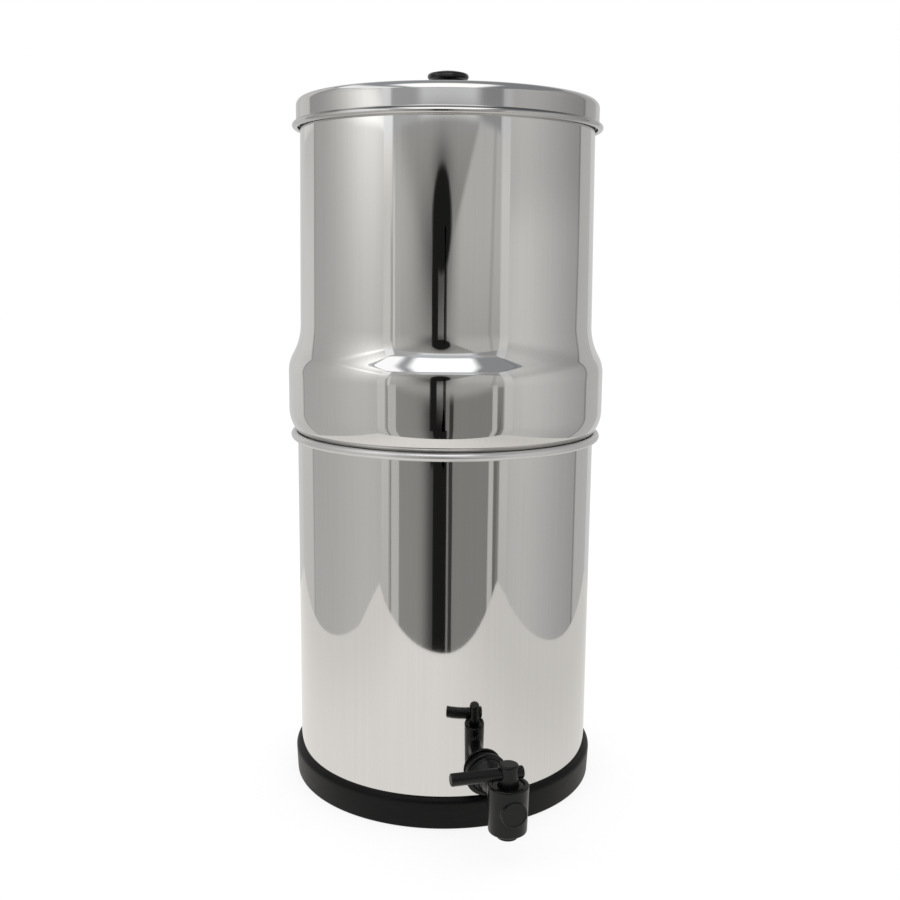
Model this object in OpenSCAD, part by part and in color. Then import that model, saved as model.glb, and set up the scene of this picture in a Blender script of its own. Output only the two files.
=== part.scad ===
// Gravity water filter: a polished lower chamber with a tap, an upper chamber that nests in it and holds
// the filter candles, and a lid with a knob. Z is up, the tap points to -Y, and the origin is the centre of
// the base where it meets the table. Millimetres.

/* [Sheet metal] */
// Thickness of the sheet that both chambers and the lid are pressed from
sheet_t = 0.8; // [0.6:0.1:1.2]
// Outer radius of the bend where a chamber wall turns into its floor
floor_bend_r = 6; // [4:0.5:12]

/* [Lower chamber] */
// Outer radius of the lower chamber's wall
lower_r = 108; // [90:1:140]
// Height from the lower chamber's underside to the middle of its rolled rim
lower_h = 253.4; // [180:0.2:320]
// Radius of the rolled rim's tube
rim_r = 2.8; // [2:0.1:4]

/* [Upper chamber] */
// How far the bulge above the rolled rim stands out past the lower chamber's wall
bulge_over = 6; // [4.5:0.1:8]
// Height of the bulge's upright band
bulge_band_h = 26.8; // [15:0.1:50]
// How far the wall just above the shoulder lies inside the bulge
shoulder_step = 8.9; // [7:0.1:16]
// How much the wall narrows from there to its top edge, in radius
wall_taper = 1.6; // [0:0.1:3]
// Height from the middle of the rolled rim to the upper chamber's top edge
upper_h = 233.5; // [150:0.5:300]
// Radius of the outward curve at the top of the bulge
shoulder_out_r = 25; // [15:1:35]
// Radius of the inward curve above it
shoulder_in_r = 44; // [15:1:60]
// Radius of the curve under the bulge that sits on the rolled rim
seat_curve_r = 26; // [20:1:32]
// Radius of the small curve between the seat and the nested part
nest_curve_r = 4; // [2:0.5:8]
// Depth that the upper chamber reaches below the middle of the rolled rim
nest_depth = 22; // [15:1:40]
// Gap between the nested part and the lower chamber's wall
nest_gap = 0.8; // [0.5:0.1:1.6]
// Radius of the hem rolled inwards at the top edge
hem_r = 1.5; // [1.2:0.1:2]
// Gap left between pieces that rest on each other and lift off
seat_gap = 0.3; // [0.2:0.05:0.5]

/* [Lid] */
// Gap between the lid's skirt and the upper chamber's top edge
lid_play = 2.1; // [0.8:0.1:3]
// Outer radius of the lid's rounded edge
lid_edge_r = 5; // [4.5:0.5:10]
// Height of the upright skirt between the rounded edge and the curl
lid_skirt_h = 10.2; // [6:0.1:25]
// Outer radius of the curl along the skirt's lower edge
lid_curl_r = 2.2; // [2:0.1:4]
// Radius of the small inward bend between the skirt and its curl
lid_curl_in_r = 0.7; // [0.3:0.1:1]
// Rise of the lid's domed top
lid_dome_h = 2.7; // [1:0.1:12]

/* [Knob] */
// Radius of the knob's disc
knob_r = 14.5; // [11:0.1:20]
// Radius of the knob's neck
knob_neck_r = 8.9; // [6:0.1:9.5]
// Height of the knob
knob_h = 18.5; // [15:0.5:30]
// Radius of the disc's rounded edge
knob_edge_r = 2.2; // [1.5:0.1:3]
// Rise of the disc's domed top
knob_crown_h = 1.8; // [0.8:0.1:3]
// Radius of the screw that holds the knob
knob_screw_r = 2; // [1.5:0.1:3]

/* [Base ring] */
// Height of the rubber ring round the foot
ring_h = 22.1; // [14:0.1:23]
// Thickness of the ring's wall at its top
ring_t = 4; // [3:0.1:6]
// How far the ring's outside leans in towards the table
ring_lean = 0.8; // [0:0.1:1.5]
// Thickness of the ledge under the chamber
ring_ledge_t = 4; // [2:0.1:8]
// Width of the ledge under the chamber
ring_ledge_w = 12; // [8:0.5:25]
// Radius of the ring's lower outer edge
ring_foot_r = 1.5; // [0.5:0.1:2.5]

/* [Tap] */
// Height of the tap's shank above the table
tap_z = 39; // [39:0.5:60]
// Distance from the chamber's wall to the middle of the spout
tap_reach = 49.5; // [42:0.5:70]
// Radius of the flange against the wall
flange_r = 14.8; // [14:0.1:16]
// Thickness of the flange
flange_t = 3; // [2:0.1:5]
// Radius of the dome between flange and barrel
tap_dome_r = 12.2; // [10:0.1:13.5]
// Radius of the barrel
barrel_r = 8; // [7:0.1:9]
// Radius of the waterway along the barrel
waterway_r = 4.5; // [3:0.1:5]
// Radius of the threaded shank
shank_r = 8; // [6.5:0.1:9]
// Clearance between the shank and the hole in the wall
shank_gap = 0.3; // [0.1:0.1:0.6]
// Length of shank that stands out of the nut
shank_tail = 4.5; // [2:0.5:10]
// Thickness of each rubber washer, measured on the shank's axis
washer_t = 2.5; // [1.5:0.1:4]
// Width of each rubber washer around the shank
washer_w = 5.5; // [4:0.1:6]
// Thickness of the tap's nut
nut_t = 8; // [5:0.5:12]
// Wall of the tap's nut from the thread to its corners
nut_w = 6; // [4:0.5:8]

/* [Spout] */
// Radius of the spout at its top
spout_top_r = 13.5; // [12.5:0.1:16]
// Radius of the spout at its bottom
spout_low_r = 12.6; // [11.5:0.1:15]
// Height of the spout above the shank's axis
spout_up = 15; // [14:0.5:20]
// Depth of the spout below the shank's axis
spout_down = 17; // [15:0.5:19]
// Radius of the rounded edges of the spout
spout_edge_r = 1; // [0.5:0.1:1.5]
// Radius of the nozzle
nozzle_r = 7; // [6:0.1:9]
// Length of the nozzle below the spout
nozzle_len = 4.5; // [2:0.1:8]
// Radius of the outlet through the nozzle
outlet_r = 5; // [3:0.1:5.5]
// Radius of the plain round boss on the spout's front
boss_r = 8.5; // [6:0.1:10]
// Height that the boss stands proud of the spout
boss_t = 0.7; // [0.3:0.1:1.5]

/* [Plug and lever] */
// Radius of the bore that the plug turns in
plug_bore_r = 8; // [7:0.1:9]
// Running clearance round the plug
plug_fit = 0.05; // [0.02:0.01:0.1]
// Radius of the head on top of the plug
head_r = 6.6; // [6:0.1:7]
// Height of the head above the spout
head_h = 13.5; // [12:0.1:20]
// Radius of the lever's rod
lever_r = 4.1; // [3:0.1:4.5]
// Length of the lever from the plug's axis
lever_len = 38.4; // [25:0.2:60]
// Length of the lever's short end
lever_stub = 9.9; // [8:0.1:16]
// Depth of the lever's axis below the top of the head
lever_drop = 6.5; // [5.5:0.1:7]
// Radius of an O-ring's cord
o_ring_r = 1; // [0.7:0.1:1.2]
// Thickness of the collar that keeps the plug in
collar_t = 4; // [2.5:0.1:5]
// Width of the collar's seat around the plug's bore
collar_seat_w = 2.5; // [2:0.1:3]
// Depth of the collar below the spout's rim
collar_sink = 1; // [0.4:0.1:2]

/* [Filter candles] */
// Number of candle sockets in the upper chamber's floor
socket_count = 4; // [2:2:4]
// Distance from the nested wall to the middle of a socket
socket_inset = 51.4; // [40:0.2:58]
// Radius of a candle's ceramic shell
candle_r = 25; // [20:0.5:28]
// Height of a candle's ceramic shell
candle_h = 165; // [100:1:190]
// Wall thickness of a candle's ceramic shell
candle_wall = 8; // [5:0.5:10]
// Thickness of the plate of a candle's base cap
cap_plate_t = 4; // [3:0.5:8]
// Height of the cap's wall above its plate
cap_wall_h = 10; // [6:0.5:20]
// Thickness of the cap's wall
cap_wall_t = 2; // [1.5:0.1:4]
// Radius of the threaded stems
stem_r = 5; // [4:0.1:6]
// Clearance between a stem and its hole in the floor
stem_gap = 0.5; // [0.2:0.1:1]
// Radius of the waterway through a candle's stem
stem_bore_r = 2.5; // [1.5:0.1:3]
// Length of stem that stands out of its nut
stem_tail = 5; // [2:0.5:15]
// Radius of the carbon core inside a candle
core_r = 15; // [10:0.5:16]
// Space between the carbon core and the shell's closed end
core_room = 14; // [10:1:40]

/* [Seals and nuts of the upper chamber] */
// Thickness of a sealing washer
seal_t = 2.5; // [1.5:0.1:4]
// Width of a sealing washer around its stem
seal_w = 9; // [6:0.5:12]
// Radius of a nut's hub
hub_r = 9; // [8:0.5:11]
// Height of a nut's hub
hub_h = 8; // [6:0.5:12]
// Reach of a nut's wings from the stem's axis
wing_reach = 19; // [15:0.5:23]
// Thickness of a wing
wing_t = 3; // [2:0.5:5]
// Height of a wing
wing_h = 11; // [8:0.5:16]
// Radius of a blanking plug's head
blank_r = 13; // [10:0.5:16]
// Height of a blanking plug's head
blank_h = 5; // [3:0.5:8]

/* [Hidden] */
$fn = 96;

// Small overlap that makes a cut pass clean through a face
through = 1;
// Facets of a full turn of the lower chamber's wall where the tap's washers bed on it
wall_fn = 720;
// Straight steps that an arc of a pressed sheet's outline is drawn in
arc_steps = 12;
steel = [0.78, 0.78, 0.77];
black = [0.07, 0.07, 0.075];
rubber = [0.09, 0.09, 0.09];
silicone = [0.80, 0.80, 0.78];
ceramic = [0.93, 0.91, 0.86];
nylon = [0.90, 0.90, 0.88];
carbon = [0.12, 0.12, 0.12];

// Lower chamber
lower_in_r = lower_r - sheet_t;
floor_z = ring_ledge_t;
rim_z = floor_z + lower_h;
rim_x = lower_in_r + rim_r;

// Upper chamber: the seat curve touches the rolled rim but for the seat gap
bulge_r = lower_r + bulge_over;
upper_r = bulge_r - shoulder_step;
upper_top_r = upper_r - wall_taper;
nest_r = lower_in_r - nest_gap;
seat_z = rim_z + sqrt(pow(seat_curve_r + rim_r + seat_gap, 2) - pow(rim_x - bulge_r + seat_curve_r, 2));
shoulder_z = seat_z + bulge_band_h;
shoulder_a = step_a(bulge_r, upper_r, shoulder_out_r, shoulder_in_r);
wall_z = shoulder_z + (shoulder_out_r + shoulder_in_r) * sin(shoulder_a);
seat_a = step_a(bulge_r, nest_r, seat_curve_r, nest_curve_r);
nest_top_z = seat_z - (seat_curve_r + nest_curve_r) * sin(seat_a);
upper_floor_z = rim_z - nest_depth;
upper_top_z = rim_z + upper_h;
hem_x = upper_top_r - hem_r;
hem_z = upper_top_z - hem_r;

// Lid: the inside of its rounded edge touches the hem but for the seat gap
lid_r = upper_top_r + lid_play + sheet_t;
lid_edge_x = lid_r - lid_edge_r;
lid_edge_z = hem_z - sqrt(pow(lid_edge_r - sheet_t - hem_r - seat_gap, 2) - pow(hem_x - lid_edge_x, 2));
lid_curl_x = lid_r + lid_curl_in_r;
lid_skirt_z = lid_edge_z - lid_skirt_h;
lid_curl_z = lid_skirt_z - lid_curl_in_r - lid_curl_r;
lid_curl_a = acos((lid_curl_in_r + sheet_t) / lid_curl_r) - 180;
lid_flat_z = lid_edge_z + lid_edge_r;
lid_dome_r = (pow(lid_edge_x, 2) + pow(lid_dome_h, 2)) / (2 * lid_dome_h);
lid_dome_z = lid_flat_z + lid_dome_h - lid_dome_r;

// Knob and its screw, which stand on small flats at the middle of the lid
knob_flat_r = knob_neck_r + 1;
knob_flat_a = acos(knob_flat_r / lid_dome_r);
knob_z = lid_dome_z + lid_dome_r * sin(knob_flat_a);
knob_disc_z = knob_h - knob_crown_h - knob_edge_r;
knob_disc_x = knob_r - knob_edge_r;
knob_crown_r = (pow(knob_disc_x, 2) + pow(knob_crown_h, 2)) / (2 * knob_crown_h);
knob_flare_h = 3;
knob_thread_len = 10;
knob_washer_r = 3 * knob_screw_r;
knob_washer_t = 0.8;
screw_head_r = 2 * knob_screw_r;
screw_head_h = 1.2 * knob_screw_r;
under_lid_z = lid_dome_z + (lid_dome_r - sheet_t) * sin(knob_flat_a);

// Base ring
ring_out_r = lower_r + ring_t;
ring_low_r = ring_out_r - ring_lean;
ring_in_r = lower_r - ring_ledge_w;

// Tap, measured outwards from the chamber's axis along -Y
flange_back = lower_r + washer_t;
flange_front = flange_back + flange_t;
tap_y = lower_r + tap_reach;
inner_washer_front = lower_in_r - washer_t;
nut_front = inner_washer_front - nut_t;
shank_end = nut_front - shank_tail;
washer_r = shank_r + washer_w;
nut_r = shank_r + nut_w;

// Spout, plug and collar
spout_z = tap_z + spout_up;
spout_low_z = tap_z - spout_down;
nozzle_z = spout_low_z - nozzle_len;
bore_floor_t = 5;
bore_floor_z = spout_low_z + bore_floor_t;
collar_z = spout_z - collar_sink - collar_t;
collar_r = plug_bore_r + collar_seat_w;
plug_r = plug_bore_r - plug_fit;
plug_top_z = collar_z - seat_gap;
plug_low_z = bore_floor_z + seat_gap;
head_z = spout_z + head_h;
head_gap = 0.3;
lever_z = head_z - lever_drop;
lever_fit = 0.05;
lever_edge = 0.6;
port_r = waterway_r - 0.5;
plug_channel_r = 4;
groove_r = plug_r - 2 * o_ring_r;
groove_lift = 1.4 * o_ring_r;
o_ring_zs = [(plug_low_z + tap_z - waterway_r) / 2, (plug_top_z + tap_z + waterway_r) / 2];

// Sockets: candles fill every other one and blanking plugs close the rest
socket_turn = 360 / socket_count;
socket_circle_r = nest_r - socket_inset;
stem_hole_r = stem_r + stem_gap;
upper_deck_z = upper_floor_z + sheet_t;
cap_z = upper_deck_z + seal_t;
shell_z = cap_z + cap_plate_t;
seal_r = stem_r + seal_w;
cap_r = candle_r + cap_wall_t;
core_h = candle_h - candle_wall - core_room;
stem_low_z = upper_floor_z - hub_h - stem_tail;

// Angle that two tangent arcs turn through when they step from one radius to another
function step_a(big, small, out_r, in_r) = acos(1 - (big - small) / (out_r + in_r));

// Points along an arc, without its last one, where the next stretch starts
function arc(x, z, r, from, to) =
    [for (i = [0:arc_steps - 1]) let (a = from + (to - from) * i / arc_steps) [x + r * cos(a), z + r * sin(a)]];

function reversed(points) = [for (i = [len(points) - 1:-1:0]) points[i]];

// Section of a pressed sheet between its outside and its inside outline
module sheet_2d(outside, inside) {
    polygon(concat(outside, reversed(inside)));
}

// Corner piece that, cut away, rounds an outer corner at the origin
module corner_2d(r) {
    difference() {
        translate([-r, -r]) square(r + through);
        translate([-r, -r]) circle(r);
    }
}

// Child turned so that its Z axis runs outwards along the tap's shank
module along_tap() {
    translate([0, 0, tap_z]) rotate([90, 0, 0]) children();
}

// Child moved to the spout's axis
module at_spout() {
    translate([0, -tap_y, 0]) children();
}

// Child moved to socket i
module at_socket(i) {
    rotate([0, 0, i * socket_turn]) translate([socket_circle_r, 0, 0]) children();
}

module ring_solid(out_r, in_r, h) {
    difference() {
        cylinder(r = out_r, h = h);
        translate([0, 0, -through]) cylinder(r = in_r, h = h + 2 * through);
    }
}

module base_ring() {
    lip_z = ring_h - ring_t;
    color(rubber) rotate_extrude() polygon(concat(
        [[ring_in_r, 0]],
        arc(ring_low_r - ring_foot_r, ring_foot_r, ring_foot_r, -90, 0),
        [[ring_low_r, ring_foot_r]],
        arc(lower_r, lip_z, ring_t, 0, 90),
        [[lower_r, ring_h], [lower_r, ring_ledge_t], [ring_in_r, ring_ledge_t]]));
}

// Outline of the lower chamber from the middle of its floor to the end of its rim, which is rolled outwards
function lower_outline(inset) = concat(
    [[0, floor_z + inset]],
    arc(lower_r - floor_bend_r, floor_z + floor_bend_r, floor_bend_r - inset, -90, 0),
    [[lower_r - inset, floor_z + floor_bend_r]],
    arc(rim_x, rim_z, rim_r - sheet_t + inset, 180, -90),
    [[rim_x, rim_z - rim_r + sheet_t - inset]]);

module lower_chamber() {
    color(steel) difference() {
        rotate_extrude() sheet_2d(lower_outline(0), lower_outline(sheet_t));
        along_tap() translate([0, 0, lower_in_r - floor_bend_r])
            cylinder(r = shank_r + shank_gap, h = 2 * floor_bend_r);
    }
}

module tap_body() {
    color(black) difference() {
        union() {
            along_tap() {
                translate([0, 0, shank_end]) cylinder(r = shank_r, h = flange_back - shank_end);
                translate([0, 0, flange_back]) rotate_extrude() difference() {
                    square([flange_r, flange_t]);
                    translate([flange_r, flange_t]) corner_2d(flange_t / 2);
                }
                intersection() {
                    translate([0, 0, flange_front - through]) sphere(tap_dome_r);
                    translate([0, 0, flange_back + flange_t / 2]) cylinder(r = tap_dome_r, h = tap_reach);
                }
                translate([0, 0, flange_back]) cylinder(r = barrel_r, h = tap_y - flange_back);
                translate([0, 0, tap_y]) cylinder(r = boss_r, h = spout_top_r + boss_t);
            }
            at_spout() rotate_extrude() spout_2d();
        }
        along_tap() translate([0, 0, shank_end - through])
            cylinder(r = waterway_r, h = tap_y - shank_end + through);
        at_spout() {
            translate([0, 0, nozzle_z - through]) cylinder(r = outlet_r, h = spout_z - nozzle_z);
            translate([0, 0, bore_floor_z]) cylinder(r = plug_bore_r, h = spout_z);
            translate([0, 0, collar_z]) cylinder(r = collar_r, h = spout_z);
        }
    }
}

// Half outline of the spout with its nozzle
module spout_2d() {
    difference() {
        polygon([[0, spout_low_z], [spout_low_r, spout_low_z], [spout_top_r, spout_z], [0, spout_z]]);
        translate([spout_top_r, spout_z]) corner_2d(spout_edge_r);
        translate([spout_low_r, spout_low_z]) mirror([0, 1]) corner_2d(spout_edge_r);
    }
    translate([0, nozzle_z]) square([nozzle_r, nozzle_len + spout_edge_r]);
}

module tap_outer_washer() {
    color(rubber) difference() {
        along_tap() translate([0, 0, lower_r - washer_t]) ring_solid(washer_r, shank_r, 2 * washer_t);
        cylinder(r = lower_r, h = 2 * tap_z, $fn = wall_fn);
    }
}

module tap_inner_washer() {
    color(rubber) intersection() {
        along_tap() translate([0, 0, inner_washer_front]) ring_solid(washer_r, shank_r, 2 * washer_t);
        cylinder(r = lower_in_r, h = 2 * tap_z, $fn = wall_fn);
    }
}

module tap_nut() {
    color(black) along_tap() translate([0, 0, nut_front]) difference() {
        union() {
            cylinder(r = nut_r, h = nut_t, $fn = 6);
            translate([0, 0, nut_t - nut_t / 4]) cylinder(r = nut_r, h = nut_t / 4);
        }
        translate([0, 0, -through]) cylinder(r = shank_r, h = nut_t + 2 * through);
    }
}

module tap_collar() {
    color(black) at_spout() translate([0, 0, collar_z]) ring_solid(collar_r, head_r + head_gap, collar_t);
}

module tap_plug() {
    color(black) at_spout() difference() {
        union() {
            translate([0, 0, plug_low_z]) cylinder(r = plug_r, h = plug_top_z - plug_low_z);
            rotate_extrude() difference() {
                translate([0, plug_top_z - through]) square([head_r, head_z - plug_top_z + through]);
                translate([head_r, head_z]) corner_2d(head_r / 4);
            }
        }
        translate([0, 0, plug_low_z - through]) cylinder(r = plug_channel_r, h = tap_z - plug_low_z + through);
        translate([0, 0, tap_z]) rotate([0, 90, 0]) cylinder(r = port_r, h = plug_bore_r + through);
        translate([0, 0, lever_z]) rotate([0, 90, 0])
            cylinder(r = lever_r + lever_fit, h = 2 * plug_bore_r, center = true);
        for (z = o_ring_zs) translate([0, 0, z - groove_lift / 2 - o_ring_r / 2])
            ring_solid(plug_r + through, groove_r, groove_lift + o_ring_r);
    }
}

module tap_lever() {
    color(black) at_spout() translate([0, 0, lever_z]) rotate([0, 90, 0]) rotate_extrude() {
        translate([0, -lever_len]) difference() {
            square([lever_r, lever_len + lever_stub]);
            translate([lever_r, 0]) mirror([0, 1]) corner_2d(lever_edge);
            translate([lever_r, lever_len + lever_stub]) corner_2d(lever_edge);
        }
    }
}

module plug_o_rings() {
    color(rubber) at_spout() for (z = o_ring_zs)
        translate([0, 0, z]) rotate_extrude() translate([groove_r + o_ring_r, 0]) circle(o_ring_r);
}

// Outline of the upper chamber from the middle of its floor to the end of its hem, which is rolled inwards
function upper_outline(inset) = concat(
    [[0, upper_floor_z + inset]],
    arc(nest_r - floor_bend_r, upper_floor_z + floor_bend_r, floor_bend_r - inset, -90, 0),
    [[nest_r - inset, upper_floor_z + floor_bend_r]],
    arc(nest_r + nest_curve_r, nest_top_z, nest_curve_r + inset, 180, 180 - seat_a),
    arc(bulge_r - seat_curve_r, seat_z, seat_curve_r - inset, -seat_a, 0),
    [[bulge_r - inset, seat_z]],
    arc(bulge_r - shoulder_out_r, shoulder_z, shoulder_out_r - inset, 0, shoulder_a),
    arc(upper_r + shoulder_in_r, wall_z, shoulder_in_r + inset, 180 + shoulder_a, 180),
    [[upper_r - inset, wall_z]],
    arc(hem_x, hem_z, hem_r - inset, 0, 270),
    [[hem_x, hem_z - hem_r + inset]]);

module upper_chamber() {
    color(steel) difference() {
        rotate_extrude() sheet_2d(upper_outline(0), upper_outline(sheet_t));
        for (i = [0:socket_count - 1]) at_socket(i) translate([0, 0, upper_floor_z - through])
            cylinder(r = stem_hole_r, h = sheet_t + 2 * through);
    }
}

// Ceramic shell with a domed top, hollow and open below
module candle_shell(i) {
    color(ceramic) at_socket(i) translate([0, 0, shell_z]) difference() {
        rounded_post(candle_r, candle_h);
        translate([0, 0, -through]) rounded_post(candle_r - candle_wall, candle_h - candle_wall + through);
    }
}

// Cylinder with a domed top
module rounded_post(r, h) {
    cylinder(r = r, h = h - r);
    translate([0, 0, h - r]) intersection() {
        sphere(r);
        cylinder(r = r, h = r);
    }
}

module candle_core(i) {
    color(carbon) at_socket(i) translate([0, 0, shell_z]) ring_solid(core_r, stem_bore_r, core_h);
}

// Base cap with the threaded stem that carries the candle
module candle_cap(i) {
    color(nylon) at_socket(i) difference() {
        union() {
            translate([0, 0, cap_z]) cylinder(r = cap_r, h = cap_plate_t + cap_wall_h);
            translate([0, 0, stem_low_z]) cylinder(r = stem_r, h = cap_z - stem_low_z + through);
        }
        translate([0, 0, shell_z]) cylinder(r = candle_r, h = cap_wall_h + through);
        translate([0, 0, stem_low_z - through]) cylinder(r = stem_bore_r, h = cap_z - stem_low_z + cap_r);
    }
}

module seal(i) {
    color(silicone) at_socket(i) translate([0, 0, upper_deck_z]) ring_solid(seal_r, stem_r, seal_t);
}

// Nut with two wings, screwed up against the underside of the floor
module wing_nut(i) {
    color(nylon) at_socket(i) translate([0, 0, upper_floor_z - hub_h]) difference() {
        union() {
            cylinder(r = hub_r, h = hub_h);
            for (side = [0, 1]) mirror([side, 0, 0]) translate([0, wing_t / 2, 0]) rotate([90, 0, 0])
                linear_extrude(wing_t) difference() {
                    translate([0, hub_h - wing_h]) square([wing_reach, wing_h - seat_gap]);
                    translate([wing_reach, hub_h - wing_h]) mirror([0, 1]) corner_2d(wing_h / 3);
                    translate([wing_reach, hub_h - seat_gap]) corner_2d(wing_h / 3);
                }
        }
        translate([0, 0, -wing_h]) cylinder(r = stem_r, h = wing_h + hub_h + through);
    }
}

module blanking_plug(i) {
    color(nylon) at_socket(i) {
        translate([0, 0, cap_z]) rotate_extrude() difference() {
            square([blank_r, blank_h]);
            translate([blank_r, blank_h]) corner_2d(blank_h / 2);
        }
        translate([0, 0, stem_low_z]) cylinder(r = stem_r, h = cap_z - stem_low_z + blank_h / 2);
    }
}

// Outline of the lid from its middle, over the dome and the rounded edge, to the end of the open curl
function lid_outline(inset) = concat(
    [[0, lid_dome_z + (lid_dome_r - inset) * sin(knob_flat_a)]],
    arc(0, lid_dome_z, lid_dome_r - inset, knob_flat_a, acos(lid_edge_x / lid_dome_r)),
    arc(lid_edge_x, lid_edge_z, lid_edge_r - inset, 90, 0),
    [[lid_r - inset, lid_edge_z]],
    arc(lid_curl_x, lid_skirt_z, lid_curl_in_r + inset, 180, 270),
    arc(lid_curl_x, lid_curl_z, lid_curl_r - inset, 90, lid_curl_a),
    [[lid_curl_x + (lid_curl_r - inset) * cos(lid_curl_a), lid_curl_z + (lid_curl_r - inset) * sin(lid_curl_a)]]);

module lid() {
    color(steel) difference() {
        rotate_extrude() sheet_2d(lid_outline(0), lid_outline(sheet_t));
        translate([0, 0, under_lid_z - through]) cylinder(r = knob_screw_r, h = sheet_t + 2 * through);
    }
}

// Half outline of the knob, standing on y = 0
module knob_2d() {
    square([knob_neck_r, knob_disc_z]);
    polygon([[0, knob_disc_z - knob_edge_r - knob_flare_h], [knob_neck_r, knob_disc_z - knob_edge_r - knob_flare_h],
             [knob_disc_x, knob_disc_z - knob_edge_r], [knob_disc_x, knob_disc_z], [0, knob_disc_z]]);
    translate([knob_disc_x, knob_disc_z]) circle(knob_edge_r);
    translate([0, knob_disc_z]) square([knob_disc_x, knob_edge_r]);
    intersection() {
        translate([0, knob_h - knob_crown_r]) circle(knob_crown_r);
        translate([0, knob_disc_z]) square([knob_disc_x, knob_h]);
    }
}

module lid_knob() {
    color(black) translate([0, 0, knob_z]) difference() {
        rotate_extrude() knob_2d();
        translate([0, 0, -through]) cylinder(r = knob_screw_r, h = knob_thread_len + through);
    }
}

module knob_washer() {
    color(steel) translate([0, 0, under_lid_z - knob_washer_t])
        ring_solid(knob_washer_r, knob_screw_r, knob_washer_t);
}

module knob_screw() {
    head_top_z = under_lid_z - knob_washer_t;
    color(steel) {
        translate([0, 0, head_top_z]) cylinder(r = knob_screw_r, h = knob_z + knob_thread_len - head_top_z);
        translate([0, 0, head_top_z - screw_head_h]) rotate_extrude() difference() {
            square([screw_head_r, screw_head_h]);
            translate([screw_head_r, 0]) mirror([0, 1]) corner_2d(screw_head_h / 2);
        }
    }
}

base_ring();
lower_chamber();
tap_body();
tap_outer_washer();
tap_inner_washer();
tap_nut();
tap_collar();
tap_plug();
tap_lever();
plug_o_rings();
upper_chamber();
for (i = [0:1]) {
    candle_shell(2 * i);
    candle_core(2 * i);
    candle_cap(2 * i);
    seal(2 * i);
    wing_nut(2 * i);
    blanking_plug(2 * i + 1);
    seal(2 * i + 1);
    wing_nut(2 * i + 1);
}
lid();
lid_knob();
knob_washer();
knob_screw();
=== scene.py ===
"""Looks of the gravity water filter: two polished steel chambers, a lid, a rubber foot ring, a black tap and
the filter candles inside. Sizes are in millimetres until a mesh is made, which is in metres."""
import math

import bpy
import numpy as np
from mathutils import Matrix


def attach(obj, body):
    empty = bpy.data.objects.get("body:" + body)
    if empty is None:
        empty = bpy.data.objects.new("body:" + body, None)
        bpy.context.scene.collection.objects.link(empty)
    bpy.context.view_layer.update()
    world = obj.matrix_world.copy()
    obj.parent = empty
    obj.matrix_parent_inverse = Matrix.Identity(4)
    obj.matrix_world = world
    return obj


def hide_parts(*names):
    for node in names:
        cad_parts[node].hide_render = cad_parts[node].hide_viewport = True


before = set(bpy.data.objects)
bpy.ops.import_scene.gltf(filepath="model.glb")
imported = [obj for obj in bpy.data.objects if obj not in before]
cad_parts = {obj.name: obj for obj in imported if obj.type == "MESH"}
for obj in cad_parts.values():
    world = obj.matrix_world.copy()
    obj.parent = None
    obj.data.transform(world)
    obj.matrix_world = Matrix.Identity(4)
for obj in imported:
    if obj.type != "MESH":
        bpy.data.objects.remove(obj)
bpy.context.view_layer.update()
MM = 0.001
TURNS = 288            # facets of a full turn of the large pressed pieces

# --- sizes, as in the part
SHEET = 0.8
BEND_R = 6.0
LOWER_R = 108.0
FLOOR_Z = 4.0
RIM_R = 2.8
RIM_Z = 257.4
LOWER_IN_R = LOWER_R - SHEET
RIM_X = LOWER_IN_R + RIM_R
SEAT_GAP = 0.3
BULGE_R = 114.0
BULGE_BAND_H = 26.8
UPPER_R = 105.1
UPPER_TOP_R = 103.5
UPPER_TOP_Z = RIM_Z + 233.5
SHOULDER_OUT_R = 25.0
SHOULDER_IN_R = 44.0
SEAT_CURVE_R = 26.0
NEST_CURVE_R = 4.0
NEST_R = LOWER_IN_R - 0.8
UPPER_FLOOR_Z = RIM_Z - 22.0
HEM_R = 1.5
HEM_X = UPPER_TOP_R - HEM_R
HEM_Z = UPPER_TOP_Z - HEM_R
LID_R = UPPER_TOP_R + 2.1 + SHEET
LID_EDGE_R = 5.0
LID_EDGE_X = LID_R - LID_EDGE_R
LID_EDGE_Z = HEM_Z - math.sqrt((LID_EDGE_R - SHEET - HEM_R - SEAT_GAP) ** 2 - (HEM_X - LID_EDGE_X) ** 2)
LID_SKIRT_Z = LID_EDGE_Z - 10.2
LID_CURL_R = 2.2
LID_CURL_IN_R = 0.7
LID_CURL_X = LID_R + LID_CURL_IN_R
LID_CURL_Z = LID_SKIRT_Z - LID_CURL_IN_R - LID_CURL_R
LID_DOME_H = 2.7
LID_DOME_R = (LID_EDGE_X ** 2 + LID_DOME_H ** 2) / (2 * LID_DOME_H)
LID_DOME_Z = LID_EDGE_Z + LID_EDGE_R + LID_DOME_H - LID_DOME_R
KNOB_NECK_R = 8.9
KNOB_R = 14.5
KNOB_H = 18.5
KNOB_FLAT_A = math.degrees(math.acos((KNOB_NECK_R + 1) / LID_DOME_R))
UNDER_LID_Z = LID_DOME_Z + (LID_DOME_R - SHEET) * math.sin(math.radians(KNOB_FLAT_A))
KNOB_Z = LID_DOME_Z + LID_DOME_R * math.sin(math.radians(KNOB_FLAT_A))
RING_H = 22.1
RING_T = 4.0
RING_LOW_R = LOWER_R + RING_T - 0.8
RING_IN_R = LOWER_R - 12.0
RING_FOOT_R = 1.5
TAP_Z = 39.0
TAP_Y = 157.5          # distance of the spout's axis from the chamber's axis
FLANGE_BACK, FLANGE_FRONT, FLANGE_R = 110.5, 113.5, 14.8
SHANK_END = 92.2
DOME_R, BARREL_R, WATERWAY_R = 12.2, 8.0, 4.5
SPOUT_LOW_Z, SPOUT_Z = 22.0, 54.0
SPOUT_LOW_R, SPOUT_TOP_R = 12.6, 13.5
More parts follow.
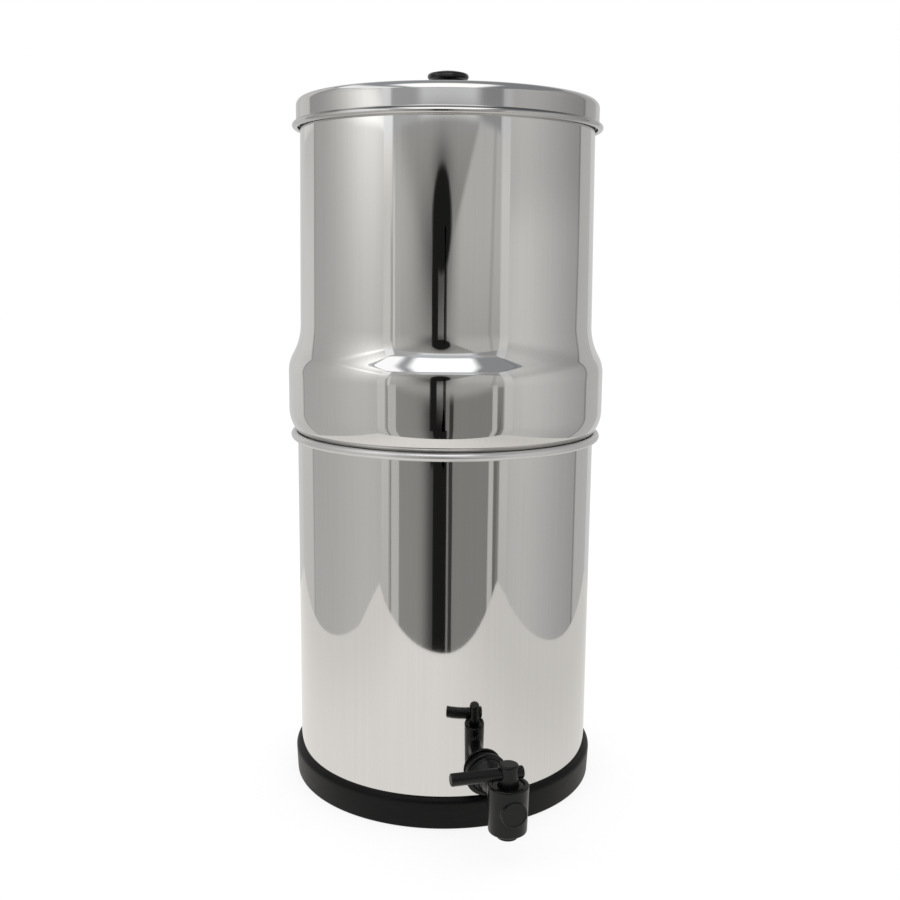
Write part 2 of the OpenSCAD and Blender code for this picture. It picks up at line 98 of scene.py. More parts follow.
NOZZLE_Z, NOZZLE_R, OUTLET_R = 17.5, 7.0, 5.0
BOSS_R, BOSS_RISE, DISH_R, DISH_DEPTH = 8.5, 0.7, 7.3, 0.35
BORE_R, BORE_FLOOR_Z = 8.0, 27.0
COLLAR_R, COLLAR_Z, COLLAR_T = 10.5, 49.0, 4.0
PLUG_R, PLUG_LOW_Z, PLUG_TOP_Z, CHANNEL_R = 7.95, 27.3, 48.7, 4.0
GROOVE_R, GROOVE_T, GROOVE_LEVELS = 5.95, 2.4, (30.9, 46.1)
HEAD_R, HEAD_LOW_Z, HEAD_Z = 6.6, 46.0, 67.5
LEVER_R, LEVER_Z, LEVER_LEN, LEVER_STUB = 4.1, 61.0, 38.4, 9.9
SHANK_R, SHANK_PITCH, SHANK_THREAD_DEPTH = 8.0, 2.0, 0.55
WASHER_R, WASHER_T = 13.5, 2.5
NUT_R, NUT_T, NUT_HEX_T = 14.0, 8.0, 6.0
SOCKET_R = NEST_R - 51.4   # distance of the candles' sockets from the chamber's axis
TAP_BLOCK, SOCKET_BLOCK = 12.0, 9.0   # half widths of the blocks of faces that are cut for the holes
STEM_R, STEM_BORE_R, STEM_PITCH, STEM_THREAD_DEPTH = 5.0, 2.5, 1.5, 0.45
UPPER_DECK_Z = UPPER_FLOOR_Z + SHEET
SEAL_R, SEAL_T = 14.0, 2.5
CAP_Z = UPPER_DECK_Z + SEAL_T
CAP_R, CAP_PLATE_T, CAP_WALL_H = 27.0, 4.0, 10.0
CAP_FLUTES, CAP_FLUTE_DEPTH = 36, 0.5
SHELL_Z = CAP_Z + CAP_PLATE_T
CANDLE_R, CANDLE_H, CANDLE_WALL = 25.0, 165.0, 8.0
HUB_R, HUB_H = 9.0, 8.0
WING_REACH, WING_T, WING_H = 19.0, 3.0, 11.0
STEM_LOW_Z = UPPER_FLOOR_Z - HUB_H - 5.0
BLANK_R, BLANK_H = 13.0, 5.0
SCREW_R, SCREW_HEAD_R, SCREW_HEAD_H, KNOB_WASHER_R = 2.0, 4.0, 2.4, 6.0


# --- outlines
def arc(x, z, r, start, end, step=3.0):
    """Points (x + r cos a, z + r sin a) for angles a in degrees from start to end, about step apart."""
    a = np.radians(np.linspace(start, end, max(3, int(abs(end - start) / step) + 2)))
    return np.column_stack([x + r * np.cos(a), z + r * np.sin(a)])


def line(*points):
    """The given points as one stretch."""
    return np.array(points, float)


def join(*stretches, longest=9.0, margin=0.25):
    """Stretches end to end. A straight run from p to q longer than longest gets points margin away from both
    ends and evenly between them, so that smooth shading doesn't tilt across it."""
    out = [stretches[0]]
    for following in stretches[1:]:
        p, q = out[-1][-1], following[0]
        length = np.linalg.norm(q - p)
        if length < 1e-6:
            following = following[1:]
        elif length > 4 * margin:
            t = np.linspace(margin, length - margin, max(2, int(length / longest) + 1)) / length
            out.append(p + (q - p) * t[:, None])
        out.append(following)
    return np.vstack(out)


def step_angle(big, small, out_r, in_r):
    """Angle that two tangent arcs turn through when they step from one radius to another."""
    return math.degrees(math.acos(1 - (big - small) / (out_r + in_r)))


def cut_edge(outside, inside):
    """Half circle over a sheet's cut edge, from the end of its outside to the end of its inside."""
    a, b = outside[-1], inside[-1]
    ahead = outside[-1] - outside[-2]
    ahead = ahead / np.linalg.norm(ahead) * np.linalg.norm(b - a) / 2
    t = np.linspace(0, math.pi, 7)[1:-1, None]
    return (a + b) / 2 + (a - b) / 2 * np.cos(t) + ahead * np.sin(t)


# --- meshes
def new_object(name, data):
    """Object of the scene that holds a mesh or a camera."""
    made = bpy.data.objects.new(name, data)
    bpy.context.scene.collection.objects.link(made)
    return made


def rotation(degrees, axis):
    return Matrix.Rotation(math.radians(degrees), 4, axis)


def shift(x, y, z):
    return Matrix.Translation((x * MM, y * MM, z * MM))


def signed_volume(points, faces):
    """Sum of the tetrahedra from the origin to the faces' triangles: positive if they point outwards."""
    a = points[faces[:, 0]]
    return sum(np.einsum("ij,ij->i", a, np.cross(points[faces[:, i]], points[faces[:, i + 1]])).sum()
               for i in range(1, faces.shape[1] - 1))


def build(name, points, kinds, finish=None, normals=None, sharp=None):
    """Object from points in millimetres and an array of faces of each kind, quads or triangles, turned to
    point outwards. finish gives each face's material number, and edges sharper than sharp stay crisp."""
    if sum(signed_volume(points, faces) for faces in kinds) < 0:
        kinds = [faces[:, ::-1] for faces in kinds]
    mesh = bpy.data.meshes.new(name)
    mesh.from_pydata((points * MM).tolist(), [], [face for faces in kinds for face in faces.tolist()])
    mesh.shade_smooth()
    if finish is not None:
        mesh.polygons.foreach_set("material_index", np.asarray(finish, np.int32))
    mesh.validate()
    if sharp is not None:
        mesh.set_sharp_from_angle(angle=math.radians(sharp))
    if normals is not None:
        mesh.normals_split_custom_set_from_vertices(normals.tolist())
    return new_object(name, mesh)


def turned(outline, turns, finish, centre=(0.0, 0.0), warp=None):
    """Points, quads, triangles and their finishes of an outline of (r, z) points turned once about Z: points
    (r cos t, r sin t, z). An end on the axis is one point with a fan of triangles, and an outline with no end
    on the axis is closed into a ring. finish gives each stretch of the outline its material number, and
    warp(r, t, z) gives the radius of an outline that isn't round."""
    start_on, end_on = outline[0, 0] < 1e-6, outline[-1, 0] < 1e-6
    rows = outline[int(start_on):len(outline) - int(end_on)]
    t = np.arange(turns) * 2 * math.pi / turns
    radius = np.repeat(rows[:, :1], turns, 1)
    if warp is not None:
        radius = warp(radius, t[None, :], rows[:, 1:])
    points = np.stack([centre[0] + radius * np.cos(t), centre[1] + radius * np.sin(t),
                       np.repeat(rows[:, 1:], turns, 1)], -1).reshape(-1, 3)
    k = np.arange(turns)
    following = (k + 1) % turns
    row = np.arange(len(rows) if not (start_on or end_on) else len(rows) - 1)[:, None]
    next_row = (row + 1) % len(rows)
    quads = np.stack([row * turns + k, row * turns + following, next_row * turns + following,
                      next_row * turns + k], axis=-1).reshape(-1, 4)
    quad_finish = np.repeat(finish[int(start_on):][:len(row)], turns)
    triangles, fan_finish = [np.zeros((0, 3), int)], [np.zeros(0, int)]
    for on_axis, ring, z, number in ((start_on, 0, outline[0, 1], finish[0]),
                                     (end_on, len(rows) - 1, outline[-1, 1], finish[-1])):
        if on_axis:
            points = np.vstack([points, [centre[0], centre[1], z]])
            pole = np.full(turns, len(points) - 1)
            fan = np.stack([pole, ring * turns + following, ring * turns + k], axis=-1)
            triangles.append(fan if ring == 0 else fan[:, ::-1])
            fan_finish.append(np.full(turns, number))
    return points, quads, np.vstack(triangles), quad_finish, np.concatenate(fan_finish)


def revolve(name, outline, turns=TURNS, sharp=None, centre=(0.0, 0.0), warp=None):
    """Piece of one finish: an outline of (r, z) points turned once, (r cos t, r sin t, z)."""
    points, quads, triangles = turned(outline, turns, np.zeros(len(outline), int), centre, warp)[:3]
    return build(name, points, [quads, triangles], sharp=sharp)


def pressed_sheet(name, outline_at, holes=()):
    """Turned surface of a pressed sheet: outline_at(0) is its outside from the axis to the cut edge and
    outline_at(SHEET) its inside, which gets the second material. Each hole is (columns, rows, flat, lift,
    radius) as pierce takes them, with rows as a test of an outline point."""
    outside, inside = outline_at(0.0), outline_at(SHEET)
    outline = np.vstack([outside, cut_edge(outside, inside), inside[::-1]])
    finish = np.where(np.arange(len(outline)) < len(outline) - len(inside), 0, 1)
    points, quads, triangles, quad_finish, fan_finish = turned(outline, TURNS, finish)
    gone = np.zeros(len(quads), bool)
    for (left, right), chosen, flat, lift, radius in holes:
        picked = np.flatnonzero([chosen(r, z) for r, z in outline[1:-1]])
        outer, inner = picked[picked < len(outside) - 1], picked[picked >= len(outside) - 1]
        blocks = ((outer[0], outer[-1]), (inner[-1], inner[0]))
        points, more, used = pierce(points, blocks, (left, right), flat, lift, radius)
        gone[used] = True
        quads = np.vstack([quads, more])
        gone = np.append(gone, np.zeros(len(more), bool))
        ninth = len(more) // 9            # four strips outside, four inside and the hole's wall
        quad_finish = np.append(quad_finish, np.repeat([0, 1, 1], [ninth * 4, ninth * 4, ninth]))
    quads, quad_finish = quads[~gone], quad_finish[~gone]
    return build(name, points, [quads, triangles], np.concatenate([quad_finish, fan_finish]), sharp=60)


def pierce(points, blocks, columns, flat, lift, radius):
    """Hole through a sheet of turned rows: on each side, rings of points that run from the hole's edge to the
    border of a block of faces take the block's place, and the hole's wall joins the two edges. flat gives the
    points' places in the plane across the hole, and lift puts such places back on a side of the sheet."""
    left, right = columns
    across = np.arange(left, right)
    quads, used, edges = [], [], []
    for side, (near, far) in enumerate(blocks):
        step = 1 if far > near else -1
        up = np.arange(near, far, step)
        row = np.concatenate([np.full(len(across), near), up, np.full(len(across), far), up[::-1] + step])
        column = np.concatenate([across, np.full(len(up), right), across[::-1] + 1, np.full(len(up), left)])
        border = row * TURNS + column % TURNS
        place = flat(points[border])
        angle = np.arctan2(place[:, 1], place[:, 0])
        edge = radius * np.column_stack([np.cos(angle), np.sin(angle)])
        rings = [border]
        for share in (0.7, 0.4, 0.15, 0.0):
            rings.append(len(points) + np.arange(len(border)))
            points = np.vstack([points, lift(edge + (place - edge) * share, points[border[0]])])
        for big, small in zip(rings[:-1], rings[1:]):
            quads.append(strip(big, small) if side == 0 else strip(big, small)[:, ::-1])
        edges.append(rings[-1])
        lowest = min(near, far)
        used.append(((lowest + np.arange(abs(far - near)))[:, None] * TURNS + across % TURNS).ravel())
    quads.append(strip(edges[0], edges[1]))
    return points, np.vstack(quads), np.concatenate(used)


def strip(one, other):
    """Quads between two closed loops of the same number of points."""
    return np.column_stack([one, np.roll(one, -1), np.roll(other, -1), other])


def soft_join(a, b, k):
    """Filleted union of two distances: mix(b, a, h) - k h (1 - h), with h = (b - a) / 2k + 1/2 in 0..1."""
    h = np.clip(0.5 + 0.5 * (b - a) / k, 0, 1)
    return b + (a - b) * h - k * h * (1 - h)


def soft_cut(a, b, k):
    """Distance a with b taken out of it, its new edges rounded."""
    return -soft_join(-a, b, k)


def meet(a, b, edge):
    """What two distances have in common, its edge rounded: both shrunk by its radius, then grown back."""
    a, b = a + edge, b + edge
    return np.minimum(np.maximum(a, b), 0) + np.hypot(np.maximum(a, 0), np.maximum(b, 0)) - edge


def disc(across, along, radius, low, high, edge):
    """Distance to a cylinder of a radius between low and high along its axis, with rounded edges."""
    return meet(across - radius, np.abs(along - (low + high) / 2) - (high - low) / 2, edge)


def gradient(field, points, h=0.02):
    """Slope of a field at points, by central differences of width 2h."""
    slopes = []
    for axis in range(3):
        shift = np.zeros(3)
        shift[axis] = h
        ahead, back = points + shift, points - shift
        slopes.append((field(*ahead.T) - field(*back.T)) / (2 * h))
    return np.column_stack(slopes)


def moulded(name, field, low, high, cell):
    """Surface where field(x, y, z) is 0, by surface nets: one point in each cell that it crosses, at the mean
    of the crossings on its edges, pulled onto the surface along the slope, and one face per crossed edge."""
    axes = [np.arange(a, b + cell, cell) for a, b in zip(low, high)]
    grid = np.stack(np.meshgrid(*axes, indexing="ij"), axis=-1)
    values = field(*np.moveaxis(grid, -1, 0))
    cells = tuple(n - 1 for n in values.shape)
    total, count = np.zeros(cells + (3,)), np.zeros(cells)
    crossings = []
    for axis in range(3):
        near, far = np.moveaxis(values, axis, 0)[:-1], np.moveaxis(values, axis, 0)[1:]
        crossed = (near < 0) != (far < 0)
        t = np.where(crossed, near / np.where(crossed, near - far, 1), 0)
        spot = np.moveaxis(grid, axis, 0)[:-1] * crossed[..., None]
        spot[..., axis] += t * cell
        at, seen = np.moveaxis(total, axis, 0), np.moveaxis(count, axis, 0)
        for j, k in ((0, 0), (0, 1), (1, 0), (1, 1)):
            at += spot[:, j:j + at.shape[1], k:k + at.shape[2]]
            seen += crossed[:, j:j + at.shape[1], k:k + at.shape[2]]
        crossings.append((axis, crossed, near < 0))
    used = count > 0
    number = np.cumsum(used.ravel()).reshape(cells) - 1
    points = total[used] / count[used][:, None]
    faces = []
    for axis, crossed, inside in crossings:
        ids = np.moveaxis(number, axis, 0)
        inner = crossed[:, 1:-1, 1:-1]
        quad = np.stack([ids[:, :-1, :-1][inner], ids[:, 1:, :-1][inner], ids[:, 1:, 1:][inner],
                         ids[:, :-1, 1:][inner]], axis=-1)
        flip = inside[:, 1:-1, 1:-1][inner] != (axis == 1)
        faces.append(np.where(flip[:, None], quad, quad[:, ::-1]))
    for _ in range(3):
        slope = gradient(field, points)
        steepness = np.maximum((slope ** 2).sum(1), 0.05)
        move = field(*points.T)[:, None] * slope / steepness[:, None]
        points = points - np.clip(move, -cell / 2, cell / 2)
    slope = gradient(field, points)
    return build(name, points, [np.vstack(faces)], normals=slope / np.linalg.norm(slope, axis=1)[:, None])


# --- material recipes
def math_node(operation, swapped=False):
    """Method that adds a Math node on a Wire and another value, in the other order if swapped."""
    def added(one, other):
        values = (other, one) if swapped else (one, other)
        return one.recipe.node("ShaderNodeMath", {"operation": operation}, dict(enumerate(values)))
    return added


class Wire:
    """A socket with arithmetic. Each operator adds its Math node to the same recipe."""

    def __init__(self, recipe, socket):
        self.recipe, self.socket = recipe, socket

    __add__ = __radd__ = math_node("ADD")
    __mul__ = __rmul__ = math_node("MULTIPLY")
    __sub__, __rsub__ = math_node("SUBTRACT"), math_node("SUBTRACT", swapped=True)
    __truediv__, __pow__ = math_node("DIVIDE"), math_node("POWER")
    most = math_node("MAXIMUM")       # the larger of the two

    def power_of_e(self):
        return self.recipe.node("ShaderNodeMath", {"operation": "EXPONENT"}, {0: self})

    def above(self, low, high):
        """Smooth step: 0 at low and 1 at high, or the other way round if high is below low."""
        return self.recipe.node("ShaderNodeMapRange", {"interpolation_type": "SMOOTHSTEP"},
                                {"Value": self, "From Min": low, "From Max": high})

    def band(self, low, high, soft):
        """1 between low and high, fading to 0 over soft outside them."""
        return self.above(low - soft, low) * self.above(high + soft, high)

    def under(self, share, other):
        """This value where share is 0, and the other where it is 1."""
        return self * (1 - share) + share * other


class Recipe:
    """A material and the nodes that make it."""

    def __init__(self, name):
        self.material = bpy.data.materials.new(name)
        self.material.use_nodes = True
        self.tree = self.material.node_tree
        self.tree.nodes.clear()
        self.output = self.tree.nodes.new("ShaderNodeOutputMaterial")

    def node(self, kind, settings, inputs, result=0):
        """A node of the given kind: its settings first, then a value or a Wire for each named socket."""
        made = self.tree.nodes.new(kind)
        for key, value in settings.items():
            setattr(made, key, value)
        for key, value in inputs.items():
            if isinstance(value, Wire):
                self.tree.links.new(value.socket, made.inputs[key])
            else:
                made.inputs[key].default_value = value
        return Wire(self, made.outputs[result])

    def place(self, scale=(1.0, 1.0, 1.0)):
        """Object coordinates in millimetres, times scale."""
        spot = self.node("ShaderNodeTexCoord", {}, {}, "Object")
        return self.node("ShaderNodeMapping", {}, {"Vector": spot, "Scale": tuple(s / MM for s in scale)})

    def axes(self):
        """X, Y and Z of the object in millimetres."""
        parts = self.node("ShaderNodeSeparateXYZ", {}, {"Vector": self.place()})
        return [Wire(self, socket) for socket in parts.socket.node.outputs]

    def noise(self, level, upright=None, detail=3.0, rough=0.5):
        """Noise with about so many grains to the millimetre, and its own number of them upright if given."""
        where = self.place((level, level, level if upright is None else upright))
        return self.node("ShaderNodeTexNoise", {}, {"Vector": where, "Scale": 1.0, "Detail": detail,
                                                    "Roughness": rough})

    def mix(self, amount, a, b):
        """Colour between a and b."""
        return self.node("ShaderNodeMix", {"data_type": "RGBA"}, {0: amount, 6: a, 7: b}, 2)

    def bump(self, height, distance):
        """Normal of a surface raised by height times distance in millimetres."""
        return self.node("ShaderNodeBump", {}, {"Height": height, "Distance": distance * MM, "Strength": 1.0})

    def finish(self, kind, inputs):
        """The finished material, with this shader on its surface."""
        shader = self.node(kind, {}, inputs)
        self.tree.links.new(shader.socket, self.output.inputs["Surface"])
        return self.material

    def surface(self, **values):
        """The finished material, with each value or Wire on the socket of that name."""
        inputs = {key.replace("_", " "): value for key, value in values.items()}
        return self.finish("ShaderNodeBsdfPrincipled", inputs)

    def light(self, colour, strength):
        """The finished material as a lamp."""
        return self.finish("ShaderNodeEmission", {"Color": colour, "Strength": strength})


def grey(value, warm=0.0):
    """Colour of a brightness, a little redder and less blue if warm."""
    return (value * (1 + warm), value, value * (1 - 1.6 * warm), 1.0)


def polished_steel(name, shine=1.0, haze_floor=0.02, shaded_crease_z=None):
    """Mirror-polished stainless: faint upright polishing lines, a very slow waviness and hardly any haze.
    Along a crease at the given height the colour is darkened as painted shade."""
    r = Recipe(name)
    lines = r.noise(0.55, 0.006, detail=4.0, rough=0.65)
    wave = r.noise(0.03, 0.012, detail=1.0)
    haze = r.noise(0.05, detail=5.0, rough=0.6)
    roughness = haze * 0.02 + lines * 0.02 + haze_floor
    normal = r.bump(lines * 0.12 + wave * 0.9, 0.05)
    colour = r.mix(lines.above(0.3, 0.7), grey(0.718 * shine, 0.01), grey(0.737 * shine, 0.01))
    if shaded_crease_z is not None:
        z = r.axes()[2]
        # painted shade: the colour is darkened in a narrow band along the crease between the lid's skirt and
        # its curl
        colour = r.mix(z.band(shaded_crease_z - 0.8, shaded_crease_z + 0.1, 0.6) * 0.8, colour, (0.12, 0.11, 0.10, 1))
    return r.surface(Base_Color=colour, Metallic=1.0, Roughness=roughness, Normal=normal)


def satin_steel(name, metal=1.0):
    """Unpolished steel: fine turned rings and a duller sheen. metal below 1 spreads some of the light, as an
    etched surface does."""
    r = Recipe(name)
    rings = r.noise(0.02, 2.2, detail=3.0)
    cloud = r.noise(0.03, detail=4.0)
    roughness = cloud * 0.12 + rings * 0.08 + 0.2
    return r.surface(Base_Color=(0.66, 0.655, 0.645, 1), Metallic=metal, Roughness=roughness,
                     Normal=r.bump(rings, 0.02))


def ring_rubber(name):
    """Black rubber: a fine dull skin with faint scuffs."""
    r = Recipe(name)
    skin = r.noise(2.5, detail=3.0)
    scuffs = r.noise(0.06, 0.5, detail=4.0, rough=0.6)
    colour = r.mix(scuffs.above(0.45, 0.75), grey(0.002), grey(0.0045))
    return r.surface(Base_Color=colour, Roughness=scuffs * 0.2 + 0.34, Specular_IOR_Level=0.16,
                     Normal=r.bump(skin, 0.05))


def moulded_plastic(name, tone=0.003, gloss=0.2, shine=0.3):
    """Black moulded plastic: a slightly uneven satin skin."""
    r = Recipe(name)
    skin = r.noise(1.2, detail=3.0)
    cloud = r.noise(0.12, detail=3.0)
    colour = r.mix(cloud, grey(tone), grey(tone * 1.5))
    return r.surface(Base_Color=colour, Roughness=cloud * 0.14 + gloss, Specular_IOR_Level=shine,
                     Normal=r.bump(skin, 0.04))


def fired_ceramic():
    """Unglazed candle: chalky off-white with fine pores, turning marks and a few tea-coloured stains."""
    r = Recipe("candle_ceramic")
    pores = r.noise(1.6, detail=6.0, rough=0.7)
    marks = r.noise(0.03, 0.9, detail=4.0, rough=0.6)
    stain = r.noise(0.05, 0.02, detail=5.0, rough=0.6).above(0.52, 0.75)
    colour = r.mix(stain * 0.6, grey(0.72, 0.035), (0.62, 0.54, 0.43, 1))
    colour = r.mix(pores.above(0.6, 0.75) * 0.35, colour, (0.50, 0.46, 0.40, 1))
    return r.surface(Base_Color=colour, Roughness=pores * 0.1 + 0.84, Specular_IOR_Level=0.25,
                     Normal=r.bump(pores * 0.7 + marks, 0.22))


def pressed_carbon():
    """Pressed carbon block: dull black grains with a few bright flecks."""
    r = Recipe("candle_carbon")
    grains = r.noise(2.2, detail=5.0, rough=0.75)
    flecks = r.noise(4.0, detail=2.0).above(0.68, 0.76)
    colour = r.mix(flecks, r.mix(grains, grey(0.008), grey(0.03)), grey(0.16))
    return r.surface(Base_Color=colour, Roughness=grains * -0.3 + 0.95, Normal=r.bump(grains, 0.3))


def white_moulding(name, tone, gloss):
    """White moulded piece: faint flow marks, a slight yellowing and an uneven satin skin."""
    r = Recipe(name)
    flow = r.noise(0.05, 0.16, detail=3.0)
    skin = r.noise(1.4, detail=3.0)
    colour = r.mix(flow, grey(tone, 0.02), grey(tone * 0.92, 0.05))
    return r.surface(Base_Color=colour, Roughness=flow * 0.16 + gloss, Normal=r.bump(skin, 0.04))


def finish_node(name, material):
    """Gives a piece of the CAD, which keeps its shape, a procedural material."""
    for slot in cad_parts[name].material_slots:
        slot.link = "OBJECT"
        slot.material = material


STEEL = polished_steel("polished_steel")
# the lid's steel carries painted shade in the crease between its skirt and its curl
LID_STEEL = polished_steel("lid_steel", 0.81, 0.075, LID_SKIRT_Z - LID_CURL_IN_R)
SATIN = satin_steel("satin_steel", 0.8)
RUBBER = ring_rubber("base_rubber")
WASHER_RUBBER = ring_rubber("washer_rubber")
FASTENER_STEEL = satin_steel("fastener_steel")
CERAMIC = fired_ceramic()
CARBON = pressed_carbon()
WHITE_PLASTIC = white_moulding("white_plastic", 0.72, 0.32)
WHITE_RUBBER = white_moulding("white_rubber", 0.60, 0.50)
PLASTIC = moulded_plastic("black_plastic")
LEVER_PLASTIC = moulded_plastic("lever_plastic", 0.003, 0.24)
KNOB_PLASTIC = moulded_plastic("knob_plastic", 0.003, 0.08, 0.5)


# --- chambers, lid, ring and knob
def lower_outline(inset):
    """Floor, bend, wall and the rim rolled outwards until it meets the wall again."""
    return join(line((0, FLOOR_Z + inset)),
                arc(LOWER_R - BEND_R, FLOOR_Z + BEND_R, BEND_R - inset, -90, 0, 4),
                np.column_stack([np.full(7, LOWER_R - inset), TAP_Z + np.linspace(-TAP_BLOCK, TAP_BLOCK, 7)]),
                arc(RIM_X, RIM_Z, RIM_R - SHEET + inset, 180, -125, 5))


def upper_outline(inset):
    """Floor, bend, nested wall, seat, bulge, shoulder, wall and the hem rolled inwards."""
    seat_z = RIM_Z + math.sqrt((SEAT_CURVE_R + RIM_R + SEAT_GAP) ** 2 - (RIM_X - BULGE_R + SEAT_CURVE_R) ** 2)
    seat_a = step_angle(BULGE_R, NEST_R, SEAT_CURVE_R, NEST_CURVE_R)
    nest_z = seat_z - (SEAT_CURVE_R + NEST_CURVE_R) * math.sin(math.radians(seat_a))
    shoulder_z = seat_z + BULGE_BAND_H
    shoulder_a = step_angle(BULGE_R, UPPER_R, SHOULDER_OUT_R, SHOULDER_IN_R)
    wall_z = shoulder_z + (SHOULDER_OUT_R + SHOULDER_IN_R) * math.sin(math.radians(shoulder_a))
    return join(line((0, UPPER_FLOOR_Z + inset)),
                np.column_stack([SOCKET_R + np.linspace(-SOCKET_BLOCK, SOCKET_BLOCK, 7),
                                 np.full(7, UPPER_FLOOR_Z + inset)]),
                arc(NEST_R - BEND_R, UPPER_FLOOR_Z + BEND_R, BEND_R - inset, -90, 0, 4),
                arc(NEST_R + NEST_CURVE_R, nest_z, NEST_CURVE_R + inset, 180, 180 - seat_a, 4),
                arc(BULGE_R - SEAT_CURVE_R, seat_z, SEAT_CURVE_R - inset, -seat_a, 0, 2.4),
                arc(BULGE_R - SHOULDER_OUT_R, shoulder_z, SHOULDER_OUT_R - inset, 0, shoulder_a, 1.5),
                arc(UPPER_R + SHOULDER_IN_R, wall_z, SHOULDER_IN_R + inset, 180 + shoulder_a, 180, 1.4),
                arc(HEM_X, HEM_Z, HEM_R - inset, 0, 270, 12))


def lid_outline(inset):
    """Flat for the knob, dome, rounded edge, skirt and the open curl."""
    curl_a = math.degrees(math.acos((LID_CURL_IN_R + SHEET) / LID_CURL_R)) - 180
    flat_z = LID_DOME_Z + (LID_DOME_R - inset) * math.sin(math.radians(KNOB_FLAT_A))
    dome_end = math.degrees(math.acos(LID_EDGE_X / LID_DOME_R))
    return join(line((0, flat_z)),
                arc(0, LID_DOME_Z, LID_DOME_R - inset, KNOB_FLAT_A, dome_end, 0.2),
                arc(LID_EDGE_X, LID_EDGE_Z, LID_EDGE_R - inset, dome_end, 0, 4),
                arc(LID_CURL_X, LID_SKIRT_Z, LID_CURL_IN_R + inset, 180, 270, 15),
                arc(LID_CURL_X, LID_CURL_Z, LID_CURL_R - inset, 90, curl_a, 6))


def foot_ring():
    """Rubber ring: a flat ledge, a leaning outside and a top rounded over to the chamber's wall."""
    edge_r = 0.5
    outline = join(line((RING_IN_R + edge_r, 0)),
                   arc(RING_LOW_R - RING_FOOT_R, RING_FOOT_R, RING_FOOT_R, -90, 0, 15),
                   arc(LOWER_R, RING_H - RING_T, RING_T, 0, 84, 6),
                   line((LOWER_R + 0.05, RING_H - 0.1), (LOWER_R + 0.02, FLOOR_Z)),
                   arc(RING_IN_R + edge_r, FLOOR_Z - edge_r, edge_r, 90, 180, 30),
                   arc(RING_IN_R + edge_r, edge_r, edge_r, 180, 270, 30)[:-1])
    return revolve("foot_ring", outline, sharp=50)


def knob():
    """Turned outline of the knob: waisted neck, flared underside, rounded rim and a domed top."""
    rim_r, crown = 2.2, 1.8
    disc_z, disc_x = KNOB_H - crown - rim_r, KNOB_R - rim_r
    crown_r = (disc_x ** 2 + crown ** 2) / (2 * crown)
    top_a = math.degrees(math.acos(disc_x / crown_r))
    outline = join(line((0, 0)), arc(KNOB_NECK_R - 0.4, 0.4, 0.4, -90, 0, 20),
                   line((KNOB_NECK_R, disc_z - rim_r - 3)),
                   arc(disc_x, disc_z, rim_r, -90, 90, 10),
                   arc(0, KNOB_H - crown_r, crown_r, top_a, 90, 1))
    outline[:, 1] += KNOB_Z
    return revolve("knob_turned", outline, turns=128, sharp=40)


def ride_as(piece, body, slot, node, *materials):
    """Gives a piece its materials in the order of its finish numbers, and puts it on a body in a CAD node's
    place."""
    for material in materials:
        piece.data.materials.append(material)
    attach(piece, body)
    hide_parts(node)


def on_wall(places, sample):
    """Puts (x, z) places round the tap's hole on the wall: y = -sqrt(r^2 - x^2)."""
    r = math.hypot(sample[0], sample[1])
    return np.column_stack([places[:, 0], -np.sqrt(r ** 2 - places[:, 0] ** 2), TAP_Z + places[:, 1]])


def columns_over(reach, radius):
    """How many facets an arc of this length takes at a radius."""
    return round(reach / radius / (2 * math.pi) * TURNS)


def socket_hole(turn):
    """Hole for a stem in the upper chamber's floor, at a turn in degrees."""
    cx, cy = SOCKET_R * math.cos(math.radians(turn)), SOCKET_R * math.sin(math.radians(turn))
    column, half = round(turn / 360 * TURNS), columns_over(SOCKET_BLOCK + 0.6, SOCKET_R)
    return ((column - half, column + half),
            lambda r, z: abs(r - SOCKET_R) < SOCKET_BLOCK + 0.1 and z < UPPER_FLOOR_Z + 1,
            lambda p: p[:, :2] - (cx, cy),
            lambda q, sample: np.column_stack([q + (cx, cy), np.full(len(q), sample[2])]), STEM_R + 0.5)


def tap_hole():
    """Hole for the tap's shank in the lower chamber's wall, three quarters of a turn round."""
    column, half = TURNS * 3 // 4, columns_over(TAP_BLOCK + 1.0, LOWER_R)
    return ((column - half, column + half), lambda r, z: abs(z - TAP_Z) < TAP_BLOCK + 0.1 and r > LOWER_R - 1,
            lambda p: p[:, [0, 2]] - (0, TAP_Z), on_wall, SHANK_R + 0.3)


SOCKET_TURNS = {"candle": (0, 180), "blanking": (90, 270)}   # degrees round the chamber's axis
ride_as(pressed_sheet("lower_vessel", lower_outline, [tap_hole()]),
        "lower_unit", "polished_steel", "lower_chamber", STEEL, SATIN)
ride_as(pressed_sheet("upper_vessel", upper_outline, [socket_hole(turn) for turn in (0, 90, 180, 270)]),
        "upper_unit", "polished_steel", "upper_chamber", STEEL, SATIN)
ride_as(pressed_sheet("lid_pressed", lid_outline), "lid_unit", "lid_steel", "lid", LID_STEEL, SATIN)
ride_as(foot_ring(), "lower_unit", "base_rubber", "base_ring", RUBBER)
ride_as(knob(), "lid_unit", "knob_plastic", "lid_knob", KNOB_PLASTIC)


# --- tap
def thread(angle, along, pitch, depth):
    """How deep a screw thread's groove is at an angle and a place along it: a rounded wave once per pitch."""
    return depth * (0.5 + 0.5 * np.cos(2 * math.pi * along / pitch - angle)) ** 1.5


